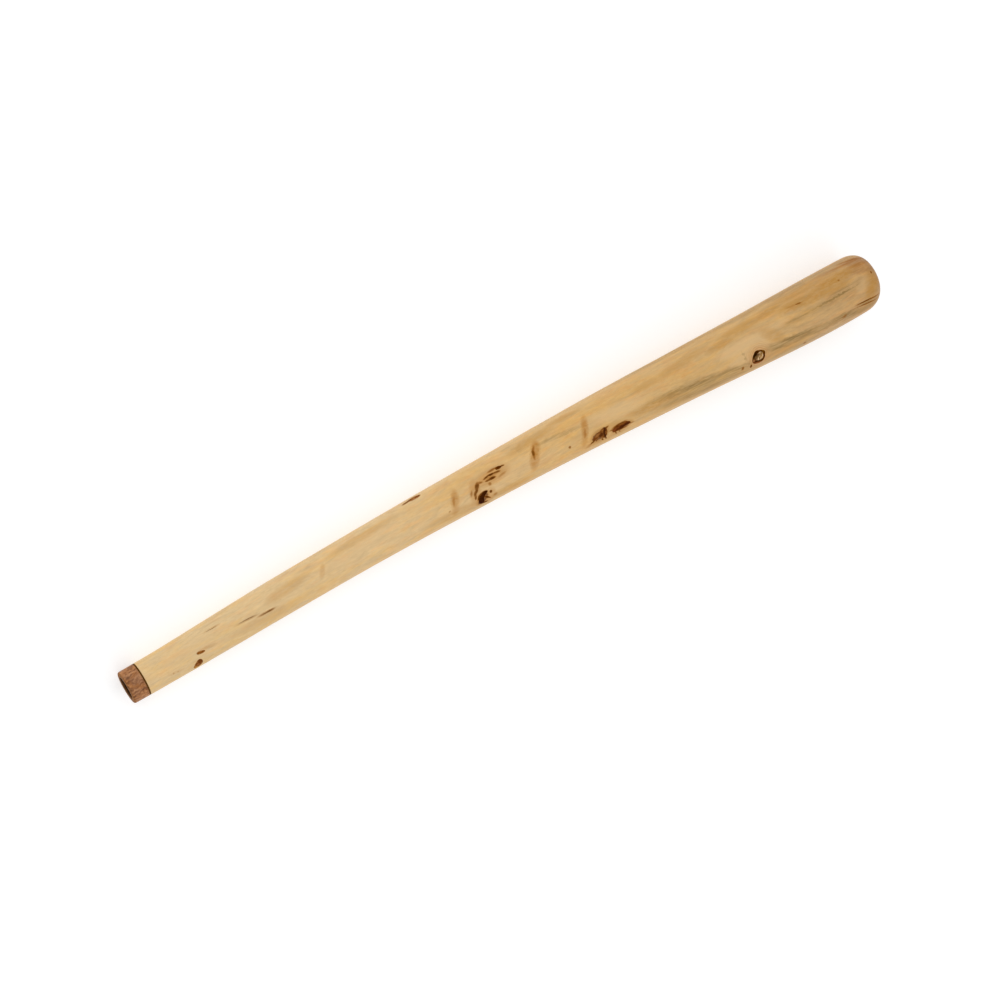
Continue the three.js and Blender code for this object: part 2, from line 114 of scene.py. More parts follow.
INLAYS = {
    # outline: object, CAD piece, slot, spot, depth, centre the rings shrink to,
    #          (points, raggedness, seed), top (bump height, sink, bump size)
    "belly_left": ("filling_left", "fill_belly_left", "resin_fill", (739.3, 128.9), 7.5,
                   (3, -1), (84, 0.35, 7), (0.10, 0.12, 3)),
    "belly_right": ("filling_right", "fill_belly_right", "resin_fill", (775.6, 133.9), 6.5,
                    (0, -0.6), (84, 0.35, 9), (0.10, 0.12, 3)),
    "centre": ("filling_centre", "fill_centre", "resin_fill", (545.6, 133.3), 7,
               (-3.2, -1), (84, 0.2, 12), (0.12, 0.25, 3)),
    "knot_centre": ("small_knot_centre", "knot_centre", "knot_wood", (582.4, 78.7), 4,
                    (0, 0), (56, 0.16, 14), (0.06, 0.08, 2)),
    "back_edge": ("knot_far_edge", "knot_back_edge", "knot_wood", (460.5, 30.1), 5,
                  (0, -0.5), (64, 0.2, 15), (0.06, 0.05, 2.5)),
    "mouth_low": ("knot_low", "knot_mouth_low", "knot_wood", (93.9, 146.5), 4.5,
                  (0.8, -0.2), (64, 0.18, 17), (0.06, 0.06, 2.5)),
    "mouth_high": ("knot_high", "knot_mouth_high", "knot_wood", (103.4, 111.2), 3,
                   (0, 0), (56, 0.15, 19), (0.05, 0.05, 2)),
}
INLAY_TAPER = 0.6
BRANCH = (1014.2, 131.7)  # spot of the branch knot near the bell
BRANCH_TAPER = 0.66
POCKET_GAP = 0.13
BARK_GAP = 0.08  # from the seam between core and bark to either of them

CRACKS = [  # along, angle, length, width, turn in degrees, bow
    (130, 64.8, 17.5, 0.55, 3, 0.5), (176, 98.6, 28, 0.6, 3, -0.6),
    (204.5, 109.3, 22, 0.65, 1.6, 0.4), (232, 250, 26, 0.6, -2, 0.5),
    (690, 238, 34, 0.6, 2, -0.7), (905, 12, 30, 0.5, -1.5, 0.6),
    (1199, 134.6, 46, 0.6, 4, 0.8), (1208, 129.2, 34, 0.5, 5, 0.5)]
CRACK_DEPTH = 0.9

GRAIN_KNOTS = [  # along, angle, radius, stretch along: the grain flows round these
    (1014.2, 131.7, 12.5, 1), (739.3, 128.9, 8.5, 1.6), (775.6, 133.9, 6, 2.2),
    (545.6, 133.3, 9, 1.2), (570, 90, 5, 2), (460.5, 30.1, 6, 1.8),
    (93.9, 146.5, 7, 1.1), (103.4, 111.2, 3.5, 1.8), (641, 88, 4.5, 1),
    (720, 104, 4, 1), (505, 105, 4, 1), (330, 252, 8, 1.3),
    (880, 292, 9, 1.3), (640, 214, 6, 1.4), (1120, 236, 9, 1.2),
    (1085, 20, 6, 1.5), (300, 8, 5, 1.4)]


# ------------------------------------------------------------------ log surface
def smoothstep(low, high, value):
    part = np.clip((np.asarray(value, float) - low) / (high - low), 0, 1)
    return part * part * (3 - 2 * part)


def catmull_rom(before, start, end, after, part, slope=False):
    """The curve between start and end, or its slope, at part 0 to 1."""
    linear = end - before
    square = 2 * before - 5 * start + 4 * end - after
    cube = -before + 3 * start - 3 * end + after
    if slope:
        return 0.5 * (linear + 2 * square * part + 3 * cube * part * part)
    return 0.5 * (2 * start + linear * part + square * part * part + cube * part ** 3)


def station(values, along, slope=False):
    """A value listed at the stations, or its slope, anywhere along the log."""
    x = np.clip(np.asarray(along, float), 0, LENGTH)
    i = np.minimum((x // STATION).astype(int), len(values) - 2)
    padded = np.r_[2 * values[0] - values[1], values, 2 * values[-1] - values[-2]]
    curve = catmull_rom(*(padded[i + k] for k in range(4)), x / STATION - i, slope)
    return curve / STATION if slope else curve


def wrap(angle):
    return angle - TURN * np.round(angle / TURN)


def turn_part(angle):
    return (angle % TURN) / TURN


class Lattice:
    """Smooth repeatable noise on a plane that repeats in x and y."""

    def __init__(self, seed, columns, rows):
        self.values = np.random.RandomState(seed).uniform(-1, 1, (columns, rows))

    def __call__(self, x, y):
        columns, rows = self.values.shape
        x, y = np.asarray(x, float), np.asarray(y, float)
        i, j = np.floor(x).astype(int), np.floor(y).astype(int)
        total = 0
        for step_x in (-1, 0, 1, 2):
            weight_x = self.weight(x - i - step_x)
            for step_y in (-1, 0, 1, 2):
                value = self.values[(i + step_x) % columns, (j + step_y) % rows]
                total = total + value * weight_x * self.weight(y - j - step_y)
        return total

    @staticmethod
    def weight(gap):
        gap = np.abs(gap)
        return np.where(gap < 1, 2 / 3 - gap * gap + gap ** 3 / 2,
                        np.where(gap < 2, (2 - gap) ** 3 / 6, 0))


undulate = Lattice(3, 40, 7)
ripple = Lattice(11, 128, 19)
channel = Lattice(5, 64, 11)
fine_channel = Lattice(8, 256, 29)
bumps = Lattice(21, 64, 64)
fine_bumps = Lattice(22, 64, 64)


def outer_radius(along, angle):
    """The slightly oval log with its swellings."""
    base = station(RADIUS, along)
    oval = np.sin(angle) ** 2 * (-0.014 + 0.01 * np.sin(along / 170 + 0.6)
                                 + 0.006 * np.sin(3 * angle + along / 95)) \
        + 0.005 * np.sin(2 * angle) * np.sin(along / 210 + 1.1)
    radius = base * (1 + smoothstep(24, 110, along) * oval)
    for spot_along, spot_angle, height, length, width in SWELLINGS:
        across = wrap(angle - spot_angle * RAD) * base
        radius = radius + height * np.exp(-0.5 * ((along - spot_along) / length) ** 2
                                          - 0.5 * (across / width) ** 2)
    return radius


def skin_radius(along, angle):
    """outer_radius with the faint flats and ripples of hand sanding."""
    part = turn_part(angle)
    return outer_radius(along, angle) + smoothstep(24, 60, along) * (
        0.22 * undulate(along / 42, part * 7) + 0.07 * ripple(along / 12, part * 19))


def bore_radius(along, angle):
    radius = np.interp(along, BORE[:, 0], BORE[:, 1])
    return radius * (1 + smoothstep(60, 400, along) * (
        0.022 * np.sin(2 * angle + along / 130) + 0.014 * np.sin(3 * angle - along / 75 + 1)
        + 0.02 * np.sin(along / 88)))


def rough_bore_radius(along, angle):
    """The bore with the long gnawed channels that termites leave."""
    part = turn_part(angle)
    amount = smoothstep(50, 150, along) * (1 - smoothstep(LENGTH - 10, LENGTH - 1, along))
    coarse = channel(along / 46, part * 11)
    fine = fine_channel(along / 12, part * 29)
    return bore_radius(along, angle) + amount * (
        1.5 * coarse + 0.7 * fine + 1.1 * np.maximum(0, coarse - 0.15))


def bow_at(along):
    """The centre line's offset, its slope, and its length per millimetre of X."""
    slope = station(BOW, along, slope=True)
    return station(BOW, along), slope, np.sqrt(1 + slope * slope)


def tilt_weight(along):
    return np.clip(1 - np.abs(LENGTH - along) / BELL_TILT_REACH, 0, 1)


def place(along, angle, radius):
    """Points in the log's own layout, before it is posed."""
    along, angle, radius = np.broadcast_arrays(
        np.asarray(along, float), np.asarray(angle, float), np.asarray(radius, float))
    middle, slope, slant = bow_at(along)
    out = radius * np.cos(angle)
    x = along - out * slope / slant + BELL_TILT * out * tilt_weight(along)
    return np.stack([x, middle + out / slant, radius * np.sin(angle)], -1)


def unplace(points):
    """(along, radius, angle) of points in the log's own layout."""
    x, y, z = points.T

    def offsets(along):
        """How far the points lie outward from a station's centre, and past it."""
        middle, slope, slant = bow_at(along)
        return (-(x - along) * slope / slant + (y - middle) / slant,
                ((x - along) + (y - middle) * slope) / slant)

    along = x.copy()
    for _ in range(8):
        out, past = offsets(along)
        along = along + past - BELL_TILT * out * tilt_weight(along)
    out, _ = offsets(along)
    return along, np.hypot(out, z), np.arctan2(z, out)


def pose_matrix():
    """The roll about X, then the pitch about Y."""
    cos, sin = math.cos(PITCH * RAD), math.sin(PITCH * RAD)
    pitch = np.array([[cos, 0, sin], [0, 1, 0], [-sin, 0, cos]])
    cos, sin = math.cos(-ROLL * RAD), math.sin(-ROLL * RAD)
    return pitch @ np.array([[1, 0, 0], [0, cos, -sin], [0, sin, cos]])


POSE = pose_matrix()


def world(points):
    return (points @ POSE.T + SHIFT) / 1000.0


# ------------------------------------------------------------------ mesh helpers
def new_mesh(name, loops, faces):
    """An object from rings of layout points, its faces turned outward by its volume."""
    mesh = bpy.data.meshes.new(name)
    mesh.from_pydata(world(np.concatenate(loops)).tolist(), [], faces)
    mesh.validate()
    mesh.update()
    piece = bpy.data.objects.new(name, mesh)
    bpy.context.scene.collection.objects.link(piece)
    shell = bmesh.new()
    shell.from_mesh(mesh)
    if shell.calc_volume(signed=True) < 0:
        bmesh.ops.reverse_faces(shell, faces=shell.faces)
    shell.to_mesh(mesh)
    shell.free()
    return piece


def band_faces(rings, count, first=0, closed=False):
    """Quads between rings of count points, the first ring starting at point first."""
    faces = []
    for i in range(rings if closed else rings - 1):
        here = first + i * count
        there = first + (i + 1) % rings * count
        for j in range(count):
            k = (j + 1) % count
            faces.append((here + j, here + k, there + k, there + j))
    return faces


def tidy(piece):
    """Two faces on every edge: corners that only split an edge in line are taken out,
    many-sided faces are cut into triangles, and folded pairs of slivers are removed."""
    shell = bmesh.new()
    shell.from_mesh(piece.data)
    in_line = []
    for vert in shell.verts:
        if len(vert.link_edges) == 2:
            start, end = (edge.other_vert(vert).co for edge in vert.link_edges)
            span = end - start
            if span.length and (vert.co - start).cross(span).length / span.length < 0.00003:
                in_line.append(vert)
    bmesh.ops.dissolve_verts(shell, verts=in_line)
    bmesh.ops.triangulate(shell, faces=[face for face in shell.faces if len(face.verts) > 4])
    shell.verts.index_update()
    seen = {}
    for face in shell.faces:
        seen.setdefault(tuple(sorted(vert.index for vert in face.verts)), []).append(face)
    folded = [face for same in seen.values() if len(same) > 1 for face in same]
    if folded:
        bmesh.ops.delete(shell, geom=folded, context="FACES")
    shell.to_mesh(piece.data)
    shell.free()


def quarter(count):
    """Angles from 0 to a quarter turn."""
    return np.linspace(0, 90, count) * RAD


def circle(count):
    return np.linspace(0, TURN, count, endpoint=False)


def sweep(name, rows, angles):
    """A closed band of rings; each row is (along, radius)."""
    loops = [place(along, angles, radius + 0 * angles) for along, radius in rows]
    return new_mesh(name, loops, band_faces(len(rows), len(angles), closed=True))


def closed_curve(points, count, rough, seed):
    """A closed outline resampled by Catmull-Rom, with a slightly ragged edge."""
    points = np.array(points, float)
    total = len(points)
    curve = []
    for i in range(total):
        corners = [points[(i + k) % total] for k in (-1, 0, 1, 2)]
        curve += [catmull_rom(*corners, part) for part in np.linspace(0, 1, 24, endpoint=False)]
    curve = np.array(curve)
    steps = np.linalg.norm(np.roll(curve, -1, 0) - curve, axis=1)
    run = np.r_[0, np.cumsum(steps)]
    loop = np.vstack([curve, curve[:1]])
    where = np.linspace(0, run[-1], count, endpoint=False)
    even = np.stack([np.interp(where, run, loop[:, 0]), np.interp(where, run, loop[:, 1])], -1)
    turn = np.arange(count) / count * 2 * np.pi
    random = np.random.RandomState(seed)
    wave = np.zeros(count)
    for k in (5, 8, 13, 21):
        wave += random.uniform(0.4, 1) * np.sin(k * turn + random.uniform(0, 6.28)) / (k ** 0.35)
    return grown(even, (rough * wave)[:, None])


def grown(outline, amount):
    """The outline moved outward along its normals."""
    ahead, behind = np.roll(outline, -1, 0), np.roll(outline, 1, 0)
    tangent = ahead - behind
    tangent /= np.linalg.norm(tangent, axis=1)[:, None]
    area = 0.5 * np.sum(outline[:, 0] * ahead[:, 1] - ahead[:, 0] * outline[:, 1])
    normals = np.stack([tangent[:, 1], -tangent[:, 0]], -1) * (1 if area > 0 else -1)
    return outline + normals * amount


def polar_curve(points, count, rough, seed):
    """An outline resampled at equal angles about its middle."""
    curve = closed_curve(points, 360, rough, seed)
    angle = np.arctan2(curve[:, 1], curve[:, 0])
    order = np.argsort(angle)
    angle = angle[order]
    radius = np.hypot(curve[:, 0], curve[:, 1])[order]
    even = np.linspace(-np.pi, np.pi, count, endpoint=False)
    radius = np.interp(even, np.r_[angle - TURN, angle, angle + TURN], np.tile(radius, 3))
    return np.stack([np.cos(even) * radius, np.sin(even) * radius], -1)


def on_skin(spot, flat, height):
    """Flat points laid on the skin round a spot and raised by height, which may be a
    function of (along, angle)."""
    along = spot[0] + flat[:, 0]
    angle = spot[1] * RAD + flat[:, 1] / station(RADIUS, spot[0])
    if callable(height):
        height = height(along, angle)
    return place(along, angle, skin_radius(along, angle) + height)


def into_wall(part):
    """Height of a point that far down through the wall: 0 the skin, 1 the bore."""
    return lambda along, angle: -(skin_radius(along, angle) - bore_radius(along, angle)) * part


# part of the depth, part of the taper reached there
SIDE_STEPS = ((0.12, 0), (0.35, 0.18), (0.62, 0.42), (0.85, 0.75), (1.0, 1))
TOP_RINGS = (0.0, 0.12, 0.25, 0.38, 0.5, 0.62, 0.74, 0.84, 0.92, 0.97, 1.0)


def plug(name, spot, outline, depth, taper, centre=(0, 0), top=None, above=None,
         edge=0.16, rings=TOP_RINGS):
    """A plug under an outline: a skin that follows the log, sides that draw in and a closed
    bottom. Without a depth it goes through the wall; above makes it a raised cutter."""
    centre = np.array(centre, float)
    count = len(outline)

    def scaled(scale):
        return centre + (outline - centre) * scale

    def side(part):
        return into_wall(part) if depth is None else -depth * part

    loops = []
    for scale in rings:
        flat = scaled(max(scale, 1e-6))
        height = above
        if above is None:
            drop = -edge if scale >= 1 else (-edge * 0.25 if scale > 0.95 else 0.0)
            height = top(flat[:, 0], flat[:, 1], scale) + drop
        points = on_skin(spot, flat, height)
        loops.append(points if scale else points[:1])
    for part, drawn in SIDE_STEPS:
        loops.append(on_skin(spot, scaled(1 - (1 - taper) * drawn), side(part)))
    faces = [(0, 1 + (j + 1) % count, 1 + j) for j in range(count)]
    faces += band_faces(len(loops) - 1, count, first=1)
    last = 1 + (len(loops) - 2) * count
    faces += [(last + j, last + (j + 1) % count, last + count) for j in range(count)]
    loops.append(on_skin(spot, scaled(taper * 0.02), side(1.0)).mean(0)[None])
    return new_mesh(name, loops, faces)


def collar(name, spot, outer, inner, top, taper):
    """A ring through the wall between two outlines with matching points."""
    rows = []
    for part in (0.0, 0.06, 0.2, 0.35, 0.5, 0.65, 0.8, 0.94, 1.0):
        flat = outer + (inner - outer) * part
        drop = {0.0: -0.2, 1.0: -0.2, 0.06: -0.04, 0.94: -0.04}.get(part, 0.0)
        rows.append(on_skin(spot, flat, top(flat[:, 0], flat[:, 1], part) + drop))
    # the hole draws in step for step with the core that stands in it
    for part, drawn in SIDE_STEPS:
        rows.append(on_skin(spot, inner * (1 - (1 - taper) * drawn), into_wall(part)))
    for part in (1.0, 0.65, 0.35, 0.1):
        flat = outer * (1 - (1 - taper) * part ** 1.3)
        rows.append(on_skin(spot, flat, into_wall(part)))
    return new_mesh(name, rows, band_faces(len(rows), len(outer), closed=True))


def shade(piece, sharp_angle):
    mesh = piece.data
    mesh.polygons.foreach_set("use_smooth", np.ones(len(mesh.polygons), bool))
    mesh.set_sharp_from_angle(angle=math.radians(sharp_angle))


def add_attribute(piece, name, columns):
    """A vector per vertex for the materials to read."""
    data = np.stack(columns, -1)
    attribute = piece.data.attributes.new(name, "FLOAT_VECTOR", "POINT")
    attribute.data.foreach_set("vector", np.ascontiguousarray(data, dtype=np.float32).ravel())


def log_coordinates(piece):
    """(along, radius, angle) of a piece's vertices."""
    points = np.empty(len(piece.data.vertices) * 3, dtype=np.float32)
    piece.data.vertices.foreach_get("co", points)
    return unplace((points.reshape(-1, 3).astype(float) * 1000.0 - SHIFT) @ POSE)


def straightened(along, radius, angle):
    return [along, radius * np.cos(angle), radius * np.sin(angle)]


# ------------------------------------------------------------------ the log
SHAPES = {key: closed_curve(OUTLINES[key], *inlay[6]) for key, inlay in INLAYS.items()}
SHAPES["bell_outer"] = polar_curve(OUTLINES["bell_outer"], 96, 0.22, 4)
SHAPES["bell_core"] = polar_curve(OUTLINES["bell_core"], 96, 0.3, 5)


def log_rows(angles):
    """Rings out along the skin, round the bell's end and back down the bore."""
    face = skin_radius(FACE, angles)
    rows = [(FACE, face - 0.25), (FACE + 0.08, face - 0.07), (FACE + 0.3, face)]
    rows += [(along, skin_radius(along, angles))
             for along in np.linspace(FACE + 2.0, BELL_ROUND_START, 452)]
    for turn in quarter(25)[1:]:
        along = BELL_ROUND_START + BELL_ROUND_AXIAL * math.sin(turn)
        rows.append((along,
                     skin_radius(along, angles) - BELL_ROUND_RADIAL * (1 - math.cos(turn))))
    for turn in quarter(6):
        rows.append((LENGTH - BELL_BEVEL * (1 - math.cos(turn)),
                     bore_radius(LENGTH, angles) + BELL_BEVEL * (1 - math.sin(turn))))
    start = LENGTH - BELL_BEVEL - 3
    for along in start - (np.linspace(0, 1, 84) ** 1.25) * (start - SOCKET_END):
        rows.append((along, rough_bore_radius(along, angles)))
    return rows + [(along, SOCKET_RADIUS) for along in (SOCKET_END, 33.0, 28.0, FACE)]


def crack_outline(phase, length, width, turn, bow):
    """A bowed, wavering hairline."""
    angle = circle(40)
    x = np.cos(angle) * length / 2
    y = np.sin(angle) * width / 2 * np.abs(np.sin(angle)) ** 0.3 \
        + bow * (1 - (2 * x / length) ** 2) + 0.12 * np.sin(x * 0.9 + phase)
    cos, sin = math.cos(turn * RAD), math.sin(turn * RAD)
    return np.stack([x * cos - y * sin, x * sin + y * cos], -1)


def pocket_cutters():
    """Pockets for the knots and fillings, and the drying cracks."""
    cutters = []
    pocket = {"above": 2.0, "rings": (0.0, 0.5, 1.0)}
    for key, (_, _, _, spot, depth, centre, _, _) in INLAYS.items():
        cutters.append(plug("cut_" + key, spot, grown(SHAPES[key], POCKET_GAP),
                            depth + 0.25, INLAY_TAPER, centre, **pocket))
    cutters.append(plug("cut_bell", BRANCH, grown(SHAPES["bell_outer"], POCKET_GAP),
                        depth=28.0, taper=0.62, **pocket))
    for i, (along, angle, *shape) in enumerate(CRACKS):
        outline = crack_outline(i, *shape)
        cutters.append(plug("cut_crack_%d" % i, (along, angle), outline, CRACK_DEPTH,
                            taper=0.7, centre=outline.mean(0), above=1.0, rings=(0.0, 1.0)))
    return cutters


def cut_away(piece, cutters):
    """Joins the cutters and takes them out of the piece."""
    bpy.ops.object.select_all(action="DESELECT")
    for cutter in cutters:
        cutter.select_set(True)
    bpy.context.view_layer.objects.active = cutters[0]
    bpy.ops.object.join()
    modifier = piece.modifiers.new("pockets", "BOOLEAN")
    modifier.operation = "DIFFERENCE"
    modifier.solver = "EXACT"
    modifier.object = cutters[0]
    bpy.context.view_layer.objects.active = piece
    bpy.ops.object.modifier_apply(modifier=modifier.name)
    bpy.data.objects.remove(cutters[0], do_unlink=True)


def bent_angle(along, angle):
    """The angle, drawn in towards each knot so that the grain flows round it."""
    bent = angle.copy()
    base = station(RADIUS, along)
    for knot_along, knot_angle, size, stretch in GRAIN_KNOTS:
        across = wrap(angle - knot_angle * RAD) * base
        ahead = (along - knot_along) / (stretch * 1.5)
        square = np.maximum(ahead * ahead + across * across, size * size)
        fade = np.exp(-np.sqrt(square) / (6 * size))
        bent -= (across * size * size / square) * fade * 1.1 / base
    return bent


SHEET = 640.0  # side of the square that the surface is unrolled on
STRIP_SPLIT = 615.0
SEAM = 70 * RAD  # the strips are cut open at minus this angle
STRIPS = [  # start, margin before it, scale along, millimetres per radian, place across
    (FACE, 4, 1, 30.5, 3), (STRIP_SPLIT, 8, 1, 43, 200),  # skin
    (FACE, 4, 0.98, 11, 478), (STRIP_SPLIT, 8, 0.96, 13, 552)]  # bore


def unroll(log, along, angle, depth, wall):
    """The surface unrolled for painting: two strips for the skin, two for the bore."""
    mesh = log.data
    corner = np.empty(len(mesh.loops), int)
    mesh.loops.foreach_get("vertex_index", corner)
    start, total = np.empty((2, len(mesh.polygons)), int)
    mesh.polygons.foreach_get("loop_start", start)
    mesh.polygons.foreach_get("loop_total", total)
    face = np.repeat(np.arange(len(total)), total)

    def face_mean(values):
        return (np.bincount(face, weights=values) / total)[face]

    first = angle[corner[start][face]]
    turned = first + wrap(angle[corner] - first)  # each face keeps to one side of the seam
    turned = turned - np.floor((face_mean(turned) + SEAM) / TURN) * TURN + SEAM
    face_along = face_mean(along[corner])
    is_skin = (face_mean(depth[corner]) < 0.6) | (
        (face_along > BELL_ROUND_START)
        & (face_mean((depth / np.maximum(wall, 1))[corner]) < 0.9))
    # distance along the skin, carried on over the bell's rounded end
    over_end = BELL_ROUND_START + (along - BELL_ROUND_START) * 0.9 + np.maximum(depth, 0) * 0.85
    run = np.where(along > BELL_ROUND_START, over_end, along)
    low = face_along < STRIP_SPLIT
    chosen = [is_skin & low, is_skin & ~low, ~is_skin & low, ~is_skin & ~low]
    lengthwise = [(distance[corner] - begin + margin) * scale for distance, (
        begin, margin, scale, _, _) in zip((run, run, along, along), STRIPS)]
    crosswise = [turned * spread + offset for _, _, _, spread, offset in STRIPS]
    sheet = np.stack([np.select(chosen, lengthwise), np.select(chosen, crosswise)], -1)
    layer = mesh.uv_layers.new(name="OFBake")
    layer.data.foreach_set("uv", np.clip(sheet / SHEET, 0.0, 1.0).astype(np.float32).ravel())


def build_log():
    angles = circle(144)
    log = sweep("hollow_log", log_rows(angles), angles)
    cut_away(log, pocket_cutters())
    tidy(log)
    along, radius, angle = log_coordinates(log)
    outer, bore = outer_radius(along, angle), bore_radius(along, angle)
    depth = outer - radius
    add_attribute(log, "wood", straightened(along, radius, angle))
    add_attribute(log, "grain", straightened(along, radius, bent_angle(along, angle)))
    add_attribute(log, "skin", [depth, radius - bore, 0 * along])
    unroll(log, along, angle, depth, outer - bore)
    shade(log, 40)
    return log


# ------------------------------------------------------------------ ring and washer
def build_ring():
    rows = []
    for turn in quarter(13):
        along = RING_EDGE_AXIAL * (1 - math.cos(turn))
        rows.append((along, station(RADIUS, along) - RING_EDGE_RADIAL * (1 - math.sin(turn))))
    rows += [(along, station(RADIUS, along))
             for along in np.linspace(4.2, RING_LENGTH - 0.35, 16)]
    for along, cut in ((RING_LENGTH - 0.1, 0.06), (RING_LENGTH, 0.22)):
        rows.append((along, station(RADIUS, along) - cut))
    back = RING_LENGTH + SPIGOT_LENGTH
    rows += [(RING_LENGTH, SPIGOT_RADIUS + 0.2), (RING_LENGTH + 0.2, SPIGOT_RADIUS),
             (back - SPIGOT_CHAMFER, SPIGOT_RADIUS), (back, SPIGOT_RADIUS - SPIGOT_CHAMFER),
             (back, RING_BORE + 0.3)]
    rows += [(along, RING_BORE) for along in (back - 0.3, 30.0, 24.0, 18.0, 12.0, 7.0, 3.5)]
    for turn in quarter(9):
        rows.append((RING_INNER_ROUND * (1 - math.sin(turn)),
                     RING_BORE + RING_INNER_ROUND * (1 - math.cos(turn))))
    return finish_turned(sweep("turned_ring", rows, circle(160)))


def build_washer():
    front = RING_LENGTH + GLUE - WASHER_OVERLAP
    back = RING_LENGTH + GLUE + WASHER + WASHER_OVERLAP
    rows = [(along, station(RADIUS, along) - 0.12 - cut) for along, cut in (
        (front, 0.16), (front + 0.12, 0.02), (front + 0.7, -0.02),
        (back - 0.7, -0.02), (back - 0.12, 0.02), (back, 0.16))]
    rows += [(back, SPIGOT_RADIUS + 0.24), (front, SPIGOT_RADIUS + 0.24)]
    return finish_turned(sweep("dark_washer", rows, circle(160)))


def finish_turned(piece):
    add_attribute(piece, "wood", straightened(*log_coordinates(piece)))
    shade(piece, 40)
    return piece


# ------------------------------------------------------------------ knots and fillings
def rough_top(amount, sink, size):
    def top(x, y, scale):
        return -sink * (1 - scale * scale) + amount * (
            bumps(x / size + 20, y / size + 20)
            + 0.5 * fine_bumps(x / size * 2.3 + 9, y / size * 2.3 + 9))
    return top


def core_top(x, y, scale):
    """Dished and bumpy, with a pit and two straight grooves."""
    reach = np.hypot(x, y)
    return -0.30 * (1 - scale * scale) + 0.10 * bumps(x / 1.6 + 30, y / 1.6 + 30) \
        - 0.35 * np.exp(-((np.hypot(x + 0.6, y - 0.3)) / 1.3) ** 2) \
        - 0.30 * np.exp(-((y * 0.8 + x * 0.5) / 0.35) ** 2) * (reach < 5.4) \
        - 0.26 * np.exp(-((y * 0.7 - x * 0.75 + 0.6) / 0.3) ** 2) * (reach < 4.6)


def bark_top(x, y, part):
    """Sunk and rough between the two outlines."""
    return -0.22 * np.sin(np.pi * part) ** 0.8 + 0.16 * bumps(x / 1.3 + 12, y / 1.3 + 40) \
        + 0.08 * fine_bumps(x / 0.7 + 12, y / 0.7 + 40)


def finish_inset(piece, spot):
    along, radius, angle = log_coordinates(piece)
    across = wrap(angle - spot[1] * RAD) * station(RADIUS, spot[0])
    add_attribute(piece, "knot", [along - spot[0], across, outer_radius(along, angle) - radius])
    shade(piece, 50)
    return piece


def build_inlay(key):
    name, _, _, spot, depth, centre, _, top = INLAYS[key]
    return finish_inset(plug(name, spot, SHAPES[key], depth, INLAY_TAPER, centre,
                             top=rough_top(*top)), spot)


def build_branch_core():
    core = plug("branch_knot_core", BRANCH, grown(SHAPES["bell_core"], -BARK_GAP), depth=None,
                taper=BRANCH_TAPER, top=core_top, edge=0.2,
                rings=np.r_[0.0, np.linspace(0.06, 0.94, 18), 0.975, 1.0])
    return finish_inset(core, BRANCH)


def build_branch_bark():
    bark = collar("branch_knot_bark", BRANCH, SHAPES["bell_outer"],
                  grown(SHAPES["bell_core"], BARK_GAP), bark_top, BRANCH_TAPER)
    return finish_inset(bark, BRANCH)


# ------------------------------------------------------------------ shader nodes
def linear(color):
    """sRGB 0-255 to linear."""
    parts = (value / 255.0 for value in color)
    return (*(part / 12.92 if part <= 0.04045 else ((part + 0.055) / 1.055) ** 2.4
              for part in parts), 1.0)


def add_node(tree, kind, inputs, **settings):
    """A new node; each input, by place or name, is a value or a Field."""
    node = tree.nodes.new("ShaderNode" + kind)
    for key, value in settings.items():
        setattr(node, key, value)
    for key, value in inputs.items():
        if isinstance(value, Field):
            tree.links.new(value.socket, node.inputs[key])
        else:
            node.inputs[key].default_value = value
    return node


